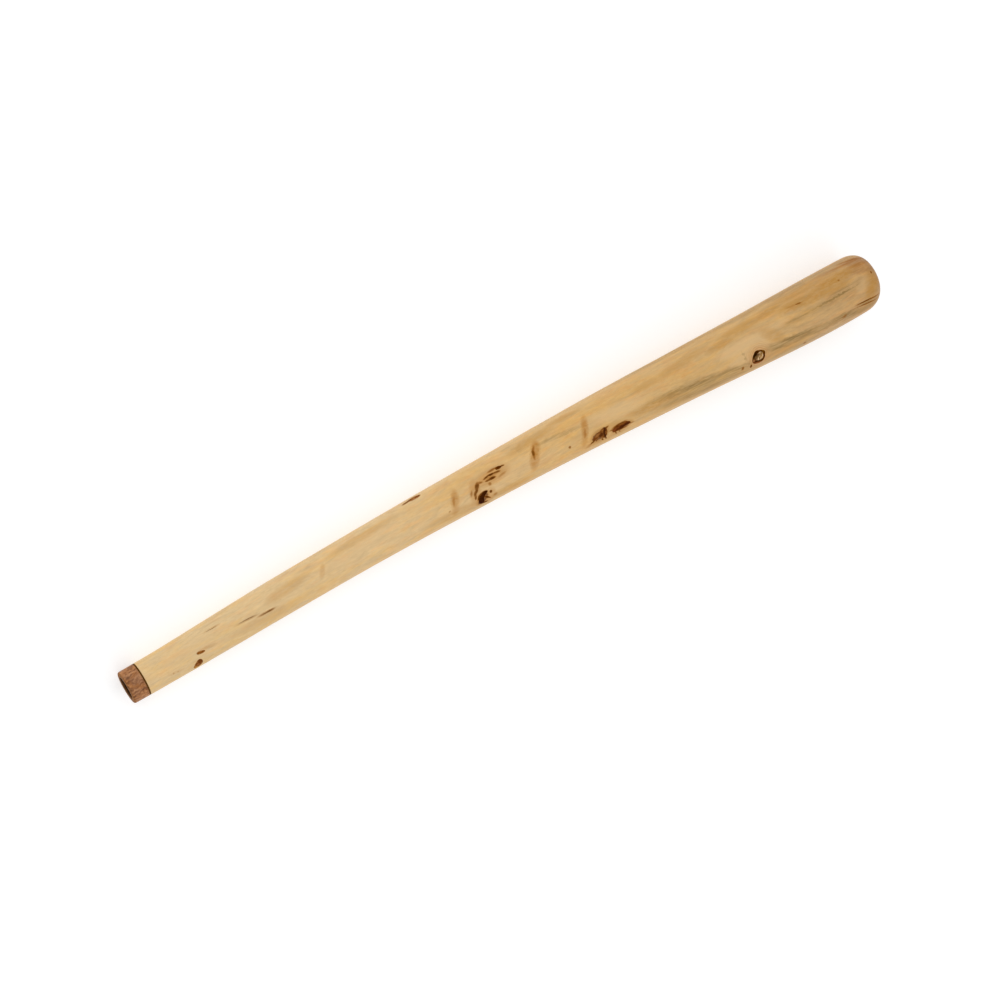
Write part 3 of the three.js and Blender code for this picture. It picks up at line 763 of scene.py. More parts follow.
class Field:
    """A node's output. Arithmetic on it adds math nodes, and its methods add other kinds.
    Colours are given as sRGB 0-255 or as a Field."""

    def __init__(self, tree, socket):
        self.tree = tree
        self.socket = socket

    def node(self, kind, inputs, output=0, **settings):
        node = add_node(self.tree, kind, inputs, **settings)
        return Field(self.tree, node.outputs[output])

    def math(self, operation, *others, clamp=False):
        return self.node("Math", dict(enumerate((self, *others))),
                         operation=operation, use_clamp=clamp)

    def __add__(self, other):
        return self.math("ADD", other)

    def __radd__(self, other):
        return self.node("Math", {0: other, 1: self}, operation="ADD")

    def __sub__(self, other):
        return self.math("SUBTRACT", other)

    def __mul__(self, other):
        return self.math("MULTIPLY", other)

    def __truediv__(self, other):
        return self.math("DIVIDE", other)

    def vector(self, operation, *others):
        output = "Value" if operation in ("LENGTH", "DOT_PRODUCT") else "Vector"
        return self.node("VectorMath", dict(enumerate((self, *others))), output,
                         operation=operation)

    def scaled(self, factor):
        return self.node("VectorMath", {0: self, "Scale": factor}, operation="SCALE")

    def moved(self, warp, amounts):
        return self.vector("ADD", warp.vector("MULTIPLY", amounts))

    def split(self):
        node = add_node(self.tree, "SeparateXYZ", {0: self})
        return [Field(self.tree, socket) for socket in node.outputs]

    def join(self, other):
        """A point in the plane z = 1, where a dot product can carry an offset."""
        return self.node("CombineXYZ", {0: self, 1: other, 2: 1.0})

    def noise(self, scale, detail=2, rough=0.5, distort=0, offset=(0, 0, 0), output="Fac"):
        point = self.vector("MULTIPLY", scale)
        if any(offset):
            point = point.vector("ADD", offset)
        return self.node("TexNoise", {
            "Vector": point, "Scale": 1, "Detail": detail, "Roughness": rough,
            "Distortion": distort}, output)

    def warp(self, scale, rough=0.5, offset=(0, 0, 0)):
        """A vector noise about zero."""
        noise = self.noise(scale, rough=rough, offset=offset, output="Color")
        return noise.vector("SUBTRACT", (0.5, 0.5, 0.5))

    def ramp(self, *stops):
        """A colour ramp of (position, colour) stops."""
        node = add_node(self.tree, "ValToRGB", {0: self})
        elements = node.color_ramp.elements
        while len(elements) > 1:
            elements.remove(elements[-1])
        for i, (position, color) in enumerate(stops):
            element = elements.new(position) if i else elements[0]
            element.position = position
            element.color = linear(color)
        return Field(self.tree, node.outputs[0])

    def remap(self, start, end, to=(0, 1), smooth=False):
        """start..end spread over the range to, and held beyond it."""
        return self.node("MapRange", dict(enumerate((self, start, end, *to))),
                         interpolation_type="SMOOTHSTEP" if smooth else "LINEAR")

    def blend(self, first, second):
        """From the first colour to the second as this goes from 0 to 1."""
        first, second = (color if isinstance(color, Field) else linear(color)
                         for color in (first, second))
        return self.node("Mix", {0: self, 6: first, 7: second}, 2,
                         data_type="RGBA", clamp_factor=True)

    def toward(self, color, amount):
        return amount.blend(self, color)

    def tinted(self, factors):
        """This colour times linear red, green and blue factors."""
        return self.node("Mix", {0: 1.0, 6: self, 7: (*factors, 1.0)}, 2,
                         data_type="RGBA", blend_type="MULTIPLY", clamp_factor=True)

    def oval(self, x, y, half_length, half_width, turn=0):
        """Squared distance from (x, y), counted in the half-widths of an oval."""
        if abs(turn) < 0.01:
            gap = self.vector("MULTIPLY_ADD", (1 / half_length, 1 / half_width, 0),
                              (-x / half_length, -y / half_width, 0))
            return gap.vector("DOT_PRODUCT", gap)
        cos, sin = math.cos(turn * RAD), math.sin(turn * RAD)
        ahead = self.vector("DOT_PRODUCT", (cos / half_length, sin / half_length,
                                            -(x * cos + y * sin) / half_length))
        aside = self.vector("DOT_PRODUCT", (-sin / half_width, cos / half_width,
                                            (x * sin - y * cos) / half_width))
        return aside.math("MULTIPLY_ADD", aside, ahead * ahead)

    def mask(self, softness, strength=1):
        """A squared distance turned into a spot with a soft edge."""
        return self.remap((1 + softness) ** 2, (1 - softness) ** 2, (0, strength), smooth=True)

    def painted(self, plane, marks, strength):
        """Ovals (x, y, half-length, half-width, turn, softness, colour) laid on a colour."""
        color = self
        for *oval, softness, paint in marks:
            color = color.toward(paint, plane.oval(*oval).mask(softness, strength))
        return color

    def bump(self, strength, distance):
        return self.node("Bump", {"Strength": strength, "Distance": distance, "Height": self})


def new_material(name):
    material = bpy.data.materials.new(name)
    material.use_nodes = True
    material.node_tree.nodes.clear()
    return material


def read_attribute(material, name):
    node = add_node(material.node_tree, "Attribute", {}, attribute_name=name)
    return Field(material.node_tree, node.outputs["Vector"])


def finish(material, color, rough, specular, normal=None, coat_rough=0.2, emission=0.0):
    """Ends a material in a principled shader."""
    tree = material.node_tree
    inputs = {"Base Color": color, "Roughness": rough, "Specular IOR Level": specular,
              "Coat Roughness": coat_rough, "Emission Strength": emission}
    if normal:
        inputs["Normal"] = normal
    shader = add_node(tree, "BsdfPrincipled", inputs)
    output = add_node(tree, "OutputMaterial", {})
    tree.links.new(shader.outputs[0], output.inputs[0])
    return material


# ------------------------------------------------------------------ the log's material
ARC = 35.0  # millimetres across per radian in the painted plane

# Strokes: strength, start (along, angle), end (along, angle), half-width, softness.
DARK = [
    (0.6, 545.4, 88.4, 550.6, 91, 1.3, 0.8), (0.85, 544.4, 90, 540.6, 100, 2.2, 0.75),
    (0.9, 541, 101.5, 537.6, 109, 1.5, 0.65), (0.8, 537.2, 106, 534.6, 114, 1.35, 0.7),
    (0.75, 535.4, 114, 533.8, 124, 1.3, 0.7), (0.45, 532, 101, 529.4, 110, 1.2, 0.8),
    (0.9, 556.6, 87.2, 565, 84.5, 1.1, 0.6), (1, 564.6, 84.7, 572.2, 85.3, 1.35, 0.5),
    (0.9, 572.6, 85.5, 581, 87.6, 1.3, 0.6), (0.4, 579, 99.8, 587, 97.6, 1.2, 0.9),
    (0.35, 560, 90, 574, 90.2, 1, 0.9), (0.8, 557.6, 94.8, 564.5, 94.8, 1.2, 0.6),
    (1, 562.6, 94.9, 571, 95.2, 1.75, 0.5), (0.6, 568, 76.4, 578, 75.6, 1.3, 0.8),
    (0.85, 587, 78.3, 591, 79.4, 1, 0.6), (1, 548, 130.5, 554.8, 142.2, 1.3, 0.5),
    (1, 540.2, 121, 550.2, 117.2, 1.9, 0.4), (1, 537.2, 129, 542, 119.5, 1.6, 0.4),
    (1, 544, 147.3, 550, 149.7, 1.5, 0.4), (0.9, 547.8, 124, 551.6, 117.6, 1.2, 0.4),
    (0.75, 734.6, 135.5, 732.8, 140.5, 0.9, 0.6), (0.85, 742.2, 141.5, 743.6, 147, 1.1, 0.6),
    (0.9, 748.2, 141, 749.2, 148, 1, 0.6), (0.85, 724, 140.6, 729.8, 136, 1.3, 0.6),
    (0.24, 717.5, 146.6, 724, 140.8, 1.6, 0.9), (0.8, 749, 118.6, 754.4, 117.4, 1.2, 0.6),
    (0.6, 731.5, 129.5, 737, 124.5, 1.1, 0.7), (0.7, 764.8, 141, 766.4, 148, 1, 0.6),
    (0.6, 771, 142, 772.4, 147.5, 1, 0.6), (0.45, 790.5, 137.5, 796.5, 138.8, 1, 0.8),
    (0.14, 797, 139.2, 804, 140, 1.2, 0.9), (0.6, 757, 131.5, 762, 131.8, 0.9, 0.7),
    (0.85, 764.5, 127.8, 781, 125.9, 1.7, 0.7), (0.7, 763, 139.8, 783, 141.2, 1.2, 0.7),
    (0.85, 636.6, 94, 638, 85, 1.6, 0.75), (0.5, 637.8, 87, 642.2, 76, 1.3, 0.9),
    (0.5, 636.8, 92, 635.6, 103, 1.3, 0.9), (0.42, 717.6, 112, 720.4, 101, 1.4, 0.9),
    (0.36, 501.6, 108, 505, 94, 1.35, 0.9), (0.38, 492, 121.4, 492.7, 119.6, 1, 0.7),
    (0.8, 1198, 130, 1234, 134.4, 1.1, 0.7), (0.65, 1202.5, 136.8, 1234, 143.2, 1.05, 0.7),
    (0.42, 1208, 33.5, 1240, 43.8, 1.8, 0.9), (0.38, 1216, 56, 1243, 60.6, 2.6, 0.9),
    (0.3, 1190, 40, 1226, 45, 1.4, 0.9),
    (0.7, 1102, 70.1, 1109.4, 71, 1, 0.7), (0.2, 1088, 68.6, 1100, 69.4, 1, 0.9),
    (0.16, 120, 63.6, 131, 64.8, 1.1, 0.9), (0.20, 129, 64.6, 139.4, 65.9, 1.1, 0.9),
    (0.20, 162, 97, 176, 98, 1.2, 0.9), (0.36, 173, 97.8, 188, 100.6, 1.1, 0.9),
    (0.45, 194.5, 108.4, 207, 109.4, 1.3, 0.9), (0.55, 203, 109, 214, 110.3, 1.2, 0.9),
    (0.9, 443.5, 30.6, 451, 29.2, 1.7, 0.7)]
BUDS = [
    (1, 646.5, 75, 638.6, 95, 4.8, 0.75), (0.75, 639, 92, 632, 117, 4.6, 0.9),
    (0.8, 509, 84, 502.6, 112, 3.6, 0.8), (0.45, 503, 110, 500.5, 129, 3.4, 0.9),
    (0.85, 726, 80, 717.6, 112, 3.8, 0.8), (0.5, 718, 110, 713.5, 130, 3.4, 0.9),
    (0.34, 299.6, 78, 293, 98, 2, 0.9), (0.6, 553, 90, 582, 89, 8, 0.8),
    (0.6, 540, 90, 534.5, 122, 5.6, 0.8), (0.6, 558, 128, 553, 146, 5, 0.9),
    (0.5, 722, 144, 750, 149, 3, 0.9), (0.5, 758, 146, 780, 147, 3, 0.9),
    (0.25, 56, 127, 70, 132, 1.6, 0.9), (0.4, 108, 106, 122, 112, 1.6, 0.9)]
ORANGE = [
    (0.5, 470, 132, 530, 140, 5, 0.9), (0.7, 1040, 58, 1075, 54, 4.6, 0.8),
    (0.9, 1085, 68, 1150, 73, 6.2, 0.8), (1, 1148, 64, 1208, 61, 6.4, 0.8),
    (0.75, 1151, 78, 1190, 79, 4.6, 0.8), (0.7, 1080, 46, 1180, 46, 6, 0.9),
    (0.6, 950, 72, 980, 70, 4.6, 0.8), (0.55, 1038, 96, 1052, 108, 7, 0.9),
    (0.6, 985, 60, 1030, 58, 6, 0.9), (0.55, 868, 70, 925, 62, 5, 0.9),
    (0.9, 1222, 124, 1236, 100, 9, 0.8), (0.8, 1198, 150, 1228, 152, 6.5, 0.9),
    (0.6, 1226, 98, 1240, 80, 6, 0.9),
    (0.6, 618, 60, 668, 52, 4.6, 0.9), (0.55, 690, 42, 720, 44, 4, 0.9),
    (0.75, 806, 121, 872, 125, 5.4, 0.9), (0.45, 820, 74, 850, 72, 4, 0.9),
    (0.5, 222, 84, 262, 76, 5, 0.9), (0.35, 160, 120, 230, 130, 5, 0.9),
    (0.45, 330, 60, 400, 56, 4, 0.9), (0.5, 560, 146, 610, 148, 4.6, 0.9),
    (0.6, 752, 118, 772, 121, 3, 0.9), (0.4, 752, 123.5, 796, 126.5, 4.5, 0.9),
    (0.5, 1030, 140, 1110, 148, 6, 0.9), (0.5, 860, 148, 960, 156, 5, 0.9),
    (0.5, 830, 235, 900, 242, 9, 0.9), (0.5, 380, 228, 470, 232, 8, 0.9),
    (0.5, 1090, 280, 1170, 290, 10, 0.9), (0.5, 140, 225, 220, 230, 7, 0.9),
    (0.5, 600, 268, 700, 260, 8, 0.9), (0.5, 950, 205, 1010, 212, 9, 0.9),
    (0.7, 1216, 200, 1236, 240, 9, 0.9), (0.7, 1216, 280, 1236, 330, 9, 0.9)]
STAIN = [
    (0.7, 856, 117, 980, 136, 5.6, 0.8), (0.85, 876, 120.5, 934, 127.7, 3.2, 0.7),
    (0.7, 924, 128.5, 985, 137.5, 3.4, 0.8), (0.7, 1034, 126.5, 1134, 136.5, 5.2, 0.8),
    (1, 1054, 124.6, 1096, 129, 3.3, 0.6), (0.8, 1088, 129, 1126, 133.6, 2.9, 0.7),
    (0.8, 1040, 131, 1072, 134, 2.4, 0.8),
    (0.55, 1078, 94.4, 1135, 94.6, 1.3, 0.7), (0.85, 1130, 94.6, 1196, 94, 1.5, 0.7),
    (0.22, 1080, 97, 1200, 97, 4, 0.9), (0.5, 1150, 88, 1195, 87, 2, 0.8),
    (0.8, 1152, 138, 1190, 141.4, 4.8, 0.8), (1, 1167, 139.4, 1174, 139.9, 3.6, 0.7),
    (0.75, 1116, 141, 1160, 143, 2.8, 0.8),
    (0.5, 1180, 148, 1225, 152, 4.4, 0.9), (0.5, 990, 107.5, 992.2, 124.5, 1, 0.8),
    (0.6, 866, 140, 1000, 153, 5.6, 0.9), (0.45, 1020, 158, 1140, 160, 5, 0.9),
    (0.6, 1200, 133, 1234, 139, 2.6, 0.8), (0.5, 660, 78, 705, 84, 2.4, 0.9),
    (0.5, 1000, 24, 1210, 26, 6.5, 0.9), (0.45, 820, 18, 960, 20, 5, 0.9),
    (0.45, 700, 258, 790, 264, 4, 0.8), (0.5, 940, 250, 1060, 258, 5, 0.8),
    (0.4, 430, 298, 520, 302, 3.4, 0.8), (0.5, 1090, 215, 1190, 222, 4.5, 0.8)]
PALE = [
    (0.8, 972, 96, 1032, 100, 9, 0.8), (0.6, 975, 120, 995, 118, 7, 0.9),
    (0.8, 549, 119, 570, 124, 4.6, 0.8), (0.7, 552.4, 134, 551, 139.5, 1.8, 0.7),
    (0.6, 745, 88, 800, 96, 7.5, 0.9), (0.4, 590, 100, 625, 104, 8, 0.9),
    (0.5, 1040, 92, 1068, 90, 4, 0.9), (0.4, 1206, 104, 1220, 96, 5, 0.9),
    (0.5, 310, 88, 400, 80, 6, 0.9), (0.45, 70, 90, 120, 84, 6, 0.9),
    (0.45, 500, 196, 600, 200, 8, 0.9)]
RED = [
    (0.9, 1212, 40, 1242, 48, 6.6, 0.8), (0.7, 1218, 68, 1241, 74, 5.6, 0.9),
    (0.5, 1170, 38, 1212, 42, 3.6, 0.9), (0.5, 1228, 190, 1238, 220, 6, 0.9),
    (0.5, 1226, 270, 1240, 300, 6, 0.9)]
DARK_SPOTS = [  # strength, along, angle, half-length, half-width, turn, softness
    (0.95, 558.2, 125.2, 1.8, 2, 0, 0.5), (0.5, 560.8, 105.5, 2, 2.1, 0, 0.7),
    (0.4, 564.4, 140.6, 2.6, 2.2, 0, 0.8), (0.62, 690.3, 120.6, 1.7, 1.7, 0, 0.7),
    (1, 1000.3, 146.4, 1.6, 2.9, 0, 0.5), (0.65, 985.8, 141.8, 2, 2.6, 0, 0.7),
    (0.8, 1237, 85.1, 1.3, 1.7, 0, 0.7), (0.42, 1170.3, 139.6, 3.2, 2.3, -10, 0.8),
    (0.55, 1098.2, 157.1, 2.2, 2, 0, 0.6), (0.5, 1183, 68, 1.5, 1.2, 0, 0.7),
    (0.32, 60, 128, 0.9, 1, 0, 0.8), (0.25, 66, 131, 0.8, 0.8, 0, 0.8),
    (0.5, 812, 262, 1.6, 1.5, 0, 0.7), (0.5, 455, 212, 1.4, 1.5, 0, 0.7),
    (0.5, 1150, 205, 2, 1.6, 0, 0.7), (0.5, 250, 300, 1.3, 1.4, 0, 0.7)]
# Wood darkened against the fillings, then their torn edges:
# along, angle, half-length, half-width, turn
FILLING_HALOS = ((739.3, 128.9, 13.8, 8, -8), (775.6, 133.9, 16.6, 5.6, 4),
                 (544.2, 133.3, 7.4, 10.6, 42))
TORN_EDGES = ((738.4, 128.9, 11.2, 5.6, -8), (774.4, 133.9, 13.6, 4, 4),
              (544.2, 133.3, 5.6, 8.6, 42))
SOUND_KNOTS = ((330, 252, 8), (880, 292, 10), (640, 214, 5.5), (1120, 236, 8.5))  # and size
END_SLITS = ((58, 3, 13), (171, 5, 16), (262, 2, 10), (318, 6, 15))  # angle, from and to depth

# Noises: scale along and across the log, detail, roughness, distortion, offset
GRAIN_NOISE = {
    "drift": (0.008, 0.05),
    "big": (0.0065, 0.05, 3, 0.55),
    "mid": (0.032, 0.15, 4, 0.6, 0.3, (7, 3, 1)),
    "figure": (0.10, 0.34, 3, 0.6, 0.3, (2, 5, 9)),
    "fibre": (0.05, 1.1, 3, 0.6, 0, (1, 9, 4)),
    "hair": (0.11, 2.6, 2, 0.6, 0, (5, 2, 8)),
    "flush": (0.030, 0.12, 3, 0.6, 0.3, (12, 6, 2)),
    "wander": (0.0065, 0.035, 2, 0.45, 0, (3, 3, 9)),
    "late": (0.01, 0.06, 2, 0.5, 0, (8, 1, 2)),
    "pores": (0.16, 3.4, 1, 0.5, 0, (2, 6, 3)),
    "streaks": (0.035, 0.55, 4, 0.65, 0, (4, 4, 4)),
}
WOOD_NOISE = {
    "end_pores": (0.25, 1.5, 2, 0.6, 0, (9, 3, 7)),
    "dirt": (0.03, 0.22, 4, 0.6, 0, (11, 1, 5)),
    "grime": (0.02, 0.06, 3, 0.6, 0, (1, 7, 7)),
}
# Base colour from the mouthpiece to the bell
LOG_COLORS = (
    (0.0, (221, 190, 142)), (0.10, (222, 192, 143)), (0.20, (221, 189, 139)),
    (0.30, (222, 190, 140)), (0.42, (218, 183, 130)), (0.55, (215, 177, 120)),
    (0.70, (211, 173, 116)), (0.85, (206, 168, 113)), (0.93, (199, 160, 107)),
    (1.0, (194, 153, 100)))


def noise_set(source, table):
    return {name: source.noise((length, width, width), *rest)
            for name, (length, width, *rest) in table.items()}


def from_top(angle):
    """Radians from the top of the log, -180 to 180 degrees."""
    return (angle - 360 - 90 if angle >= 270 else angle - 90) * RAD


def log_oval(plane, along, arc, half_length, half_width, turn=0):
    """An oval whose width is measured on the log's skin."""
    return plane.oval(along, arc, half_length,
                      half_width * ARC / float(station(RADIUS, along)), turn)


def spot_oval(plane, along, angle, half_length, half_width, turn=0):
    return log_oval(plane, along, from_top(angle) * ARC, half_length, half_width, turn)


def strongest(masks):
    total = masks[0]
    for mask in masks[1:]:
        total = total.math("MAXIMUM", mask)
    return total


def strokes(plane, table):
    masks = []
    for strength, start, start_angle, end, end_angle, half_width, softness in table:
        start_arc, end_arc = from_top(start_angle) * ARC, from_top(end_angle) * ARC
        length = math.hypot(end - start, end_arc - start_arc)
        turn = math.degrees(math.atan2(end_arc - start_arc, end - start))
        oval = log_oval(plane, (start + end) / 2, (start_arc + end_arc) / 2,
                        length / 2 + half_width * 0.8, half_width, turn)
        masks.append(oval.mask(softness, strength))
    return strongest(masks)


def log_material():
    """Pale eucalypt, long grain, satin sealer."""
    material = new_material("log_wood")
    wood, grain, skin = (read_attribute(material, name) for name in ("wood", "grain", "skin"))
    along, wood_y, wood_z = wood.split()
    depth, inside, _ = skin.split()
    around = (wood_y * -1.0).math("ARCTAN2", wood_z)
    noise = SimpleNamespace(**noise_set(grain, GRAIN_NOISE), **noise_set(wood, WOOD_NOISE))
    figure, fibre = noise.figure, noise.fibre

    # the painted plane, warped more or less
    plane = along.join(around * ARC)
    broad_warp = wood.warp((0.16, 0.28, 0.28))
    fine_warp = wood.warp((0.6, 1.1, 1.1), rough=0.6)
    rag_warp = wood.warp((0.9, 0.9, 0.9), rough=0.6, offset=(6, 2, 4))
    loose = plane.moved(broad_warp, (9, 5, 0)).moved(fine_warp, (3, 2.2, 0))
    tight = plane.moved(broad_warp, (0.9, 0.9, 0)).moved(fine_warp, (1.5, 1.3, 0))
    ragged = plane.moved(broad_warp, (3, 3, 0)).moved(rag_warp, (4.2, 3.4, 0))
    soft = plane.moved(broad_warp, (2.6, 2.2, 0))

    # base colour: paler at the mouthpiece, warmer and darker to the bell
    base = (along / LENGTH + (noise.drift - 0.5) * 0.12).ramp(*LOG_COLORS)
    gold = base.tinted((1.0, 0.90, 0.66))
    cool = base.tinted((0.965, 0.990, 1.0))
    color = base.toward(gold, (noise.big * 0.5 + noise.mid * 0.5).remap(0.45, 0.62) * 0.85)
    color = color.toward(cool, figure.remap(0.52, 0.70) * 0.46)
    # flushed patches, pinker and browner than the rest
    color = color.toward(color.tinted((1.03, 0.93, 0.86)), noise.flush.remap(0.50, 0.64) * 0.7)
    # the butt end is more mottled than the rest of the log
    mottle = along.remap(850, 1150, to=(1.0, 1.55))
    tone = 1.0 + (noise.mid - 0.5) * 0.42 * mottle + (figure - 0.5) * 0.26 \
        + (fibre - 0.5) * 0.18 + (noise.hair - 0.5) * 0.12
    # growth rings: contours where the sanded skin dips through them, bands on the bell's end
    end = along.remap(LENGTH - 22, LENGTH - 4, smooth=True) * depth.remap(0.4, 4.0)
    wander = (noise.wander - 0.5) * 17.0 * end.remap(0, 1, to=(1.0, 0.35))
    saw = ((depth * 0.8 + wander) / 2.1).math("FRACT")
    late = saw.remap(0.45, 0.95, smooth=True) * saw.remap(0.95, 1.0, to=(1, 0), smooth=True) \
        * noise.late.remap(0.38, 0.62)
    color = color.scaled(tone - late * end.remap(0, 1, to=(0.08, 0.26)))
    pores = noise.pores.remap(0.64, 0.74)
    color = color.toward((150, 108, 62), pores * 0.30)

    color = color.toward((221, 186, 136), strokes(loose, PALE) * 0.70)
    orange = strokes(loose, ORANGE) * figure.remap(0.3, 0.58, to=(0.35, 1.0))
    color = color.toward((180, 128, 50), orange * 0.84)
    buds = strokes(ragged, BUDS) * figure.remap(0.34, 0.56, to=(0.55, 1.0))
    color = color.toward((180, 120, 42), buds * 0.95)
    red = strokes(loose, RED) * fibre.remap(0.3, 0.65, to=(0.25, 1.0))
    color = color.toward((140, 88, 44), red * 0.80)
    # fungal stain drawn out along the grain
    stain = strokes(loose, STAIN) * (0.3 + noise.streaks.remap(0.36, 0.60) * 0.7)
    color = color.toward((126, 98, 44), stain * 0.92)

    # arcs of grain round the branch knot
    reach = spot_oval(soft, *BRANCH, 1.0, 1.0).math("SQRT")
    arcs = (reach * (2 * math.pi / 2.7)).math("SINE").remap(-0.2, 1.0) \
        * (reach.remap(11.5, 13.0) * reach.remap(26.0, 15.0))
    color = color.toward((208, 158, 100), reach.remap(18.0, 12.0, to=(0, 0.6)))
    color = color.toward((168, 108, 56), arcs * 0.62)
    for halo in FILLING_HALOS:
        amount = spot_oval(tight, *halo).remap(1.9, 0.8, to=(0, 0.6), smooth=True)
        color = color.toward((176, 118, 38), amount)
    for torn in TORN_EDGES:
        amount = spot_oval(ragged, *torn).remap(1.35, 1.0, to=(0, 0.85), smooth=True)
        color = color.toward((104, 56, 6), amount)
    # sound knots grown into the wood on the underside
    for knot_along, knot_angle, size in SOUND_KNOTS:
        reach = spot_oval(soft, knot_along, knot_angle, size * 1.1, size * 0.85).math("SQRT")
        rings = (reach * 26.0).math("SINE").remap(-1, 1).blend((166, 112, 58), (134, 84, 40))
        color = color.toward(rings, reach.remap(1.08, 0.92, smooth=True) * 0.9)
        rim = reach.remap(1.16, 1.0, smooth=True) * reach.remap(0.86, 0.98, smooth=True)
        color = color.toward((80, 44, 18), rim * 0.8)
    spots = strongest([spot_oval(tight, *oval).mask(softness, strength)
                       for strength, *oval, softness in DARK_SPOTS])
    marks = strokes(tight, DARK).math("MAXIMUM", spots) * fibre.remap(0.25, 0.6, to=(0.65, 1.0))
    color = color.toward((160, 98, 26), marks.remap(0.0, 0.5) * 0.72)
    color = color.toward((82, 38, 0), marks.remap(0.3, 0.95) * 0.92)

    # end grain on the bell's rounded edge drinks more finish
    end_grain = along.remap(LENGTH - 24, LENGTH - 2, smooth=True) * depth.remap(0.2, 9.0)
    color = color.toward(color.tinted((0.66, 0.50, 0.32)), end_grain * 0.6)
    color = color.toward((112, 72, 32), end_grain * noise.end_pores.remap(0.56, 0.68) * 0.5)
    for angle, start, stop in END_SLITS:
        off = (around - from_top(angle) + (figure - 0.5) * 0.05).math("ABSOLUTE")
        slit = off.remap(0.018, 0.006) * (
            depth.remap(start, start + 2) * depth.remap(stop, stop - 3))
        color = color.toward((84, 48, 18), slit * end * 0.75)
    # the bore: gnawed, unsanded, darker wood, with painted shade that darkens it further inside
    # the tube
    bore = inside.remap(3.0, 0.6, smooth=True) * along.remap(LENGTH + 1, LENGTH - 5)
    color = color.toward(noise.dirt.blend((78, 50, 28), (150, 108, 66)), bore)
    # painted shade in the pockets and cracks under the skin, darker the deeper they go, away from
    # the bell's end and the bore
    recess_shade = depth.remap(0.22, 0.7) * along.remap(LENGTH - 25, LENGTH - 27) \
        * inside.remap(2.0, 3.0)
    color = color.toward(depth.remap(0.6, 1.4).blend((116, 68, 22), (56, 26, 0)), recess_shade)

    rough = 0.46 + (fibre - 0.5) * 0.20 + (noise.grime - 0.5) * 0.18
    rough = rough.math("ADD", bore * 0.35, clamp=True)
    height = fibre * 0.5 + noise.hair * 0.35 - pores * 0.5 - late * 0.25 \
        + bore * noise.dirt * 6.0
    # dark marks, pockets and cracks are open-grained and take no shine
    specular = marks.math("MAXIMUM", recess_shade).remap(0.1, 0.6, to=(0.22, 0.0))
    return finish(material, color, rough, specular,
                  normal=height.bump(strength=0.4, distance=0.0002), coat_rough=0.25)


# ------------------------------------------------------------------ other materials
def ring_material():
    material = new_material("ring_hardwood")
    wood = read_attribute(material, "wood")
    along, y, z = wood.split()
    wavy = wood.moved(wood.warp((0.13, 0.05, 0.05)), (0, 9, 9))
    broad = wavy.noise((0.035, 0.13, 0.13), detail=3)
    streak = wavy.noise((0.06, 0.27, 0.27), detail=3, rough=0.55, offset=(3, 1, 2))
    fibre = wavy.noise((0.22, 2.2, 2.2), detail=3, rough=0.6, offset=(7, 4, 2))
    pores = wavy.noise((0.35, 3.4, 3.4), detail=1, offset=(1, 5, 3)).remap(0.60, 0.72)
    color = (broad * 0.30 + streak * 0.70).ramp(
        (0.34, (104, 64, 34)), (0.44, (136, 90, 56)), (0.52, (162, 113, 76)),
        (0.60, (182, 132, 92)), (0.70, (200, 150, 108)))
    warm_patches_and_side_shade = wood.noise((0.09, 0.09, 0.09), offset=(9, 9, 1)).remap(0.48, 0.62)
    # painted shade: a warmer, darker tint on the ring's two sides, where it turns away from the
    # camera; the noise patches above are the wood's own tone
    warm_patches_and_side_shade = warm_patches_and_side_shade.math("MAXIMUM", y.math("ABSOLUTE").remap(11.0, 19.0, smooth=True))
    color = color.toward(color.tinted((1.08, 0.90, 0.52)), warm_patches_and_side_shade * 0.7)
    color = color.scaled(1.0 + (fibre - 0.5) * 0.36)
    color = color.toward((84, 46, 20), pores * 0.38)
    # end grain on the blowing face, and painted shade inside the hole, darker further in
    face = along.remap(2.2, 0.3, smooth=True)
    radius = (y * y + z * z).math("SQRT")
    hole_shade = radius.remap(RING_BORE + 1.5, RING_BORE + 0.3, smooth=True)
    color = color.toward((124, 86, 50), face * 0.55)
    color = color.toward((50, 30, 10), hole_shade * along.remap(-0.2, 3.0, to=(0.5, 1.0)) * 0.92)
    lathe = ((along + broad * 1.2) * 11.0).math("SINE")
    height = fibre * 0.6 + lathe * 0.12 - pores * 0.8
    # the end grain and the hole are matt
    specular = face.math("MAXIMUM", hole_shade).remap(0.0, 0.6, to=(0.22, 0.02))
    return finish(material, color, 0.40 + fibre * 0.20, specular,
                  normal=height.bump(strength=0.45, distance=0.0002), coat_rough=0.25)


def washer_material():
    material = new_material("washer_veneer")
    wood = read_attribute(material, "wood")
    clouds = wood.noise((0.8, 0.5, 0.5), detail=4, rough=0.6)
    fine = wood.noise((5, 2, 2), rough=0.6, offset=(2, 2, 2))
    color = clouds.blend((62, 36, 4), (112, 74, 26)).scaled(0.85 + fine * 0.3)
    return finish(material, color, 0.45 + fine * 0.15, specular=0.02,
                  normal=fine.bump(strength=0.4, distance=0.0001))


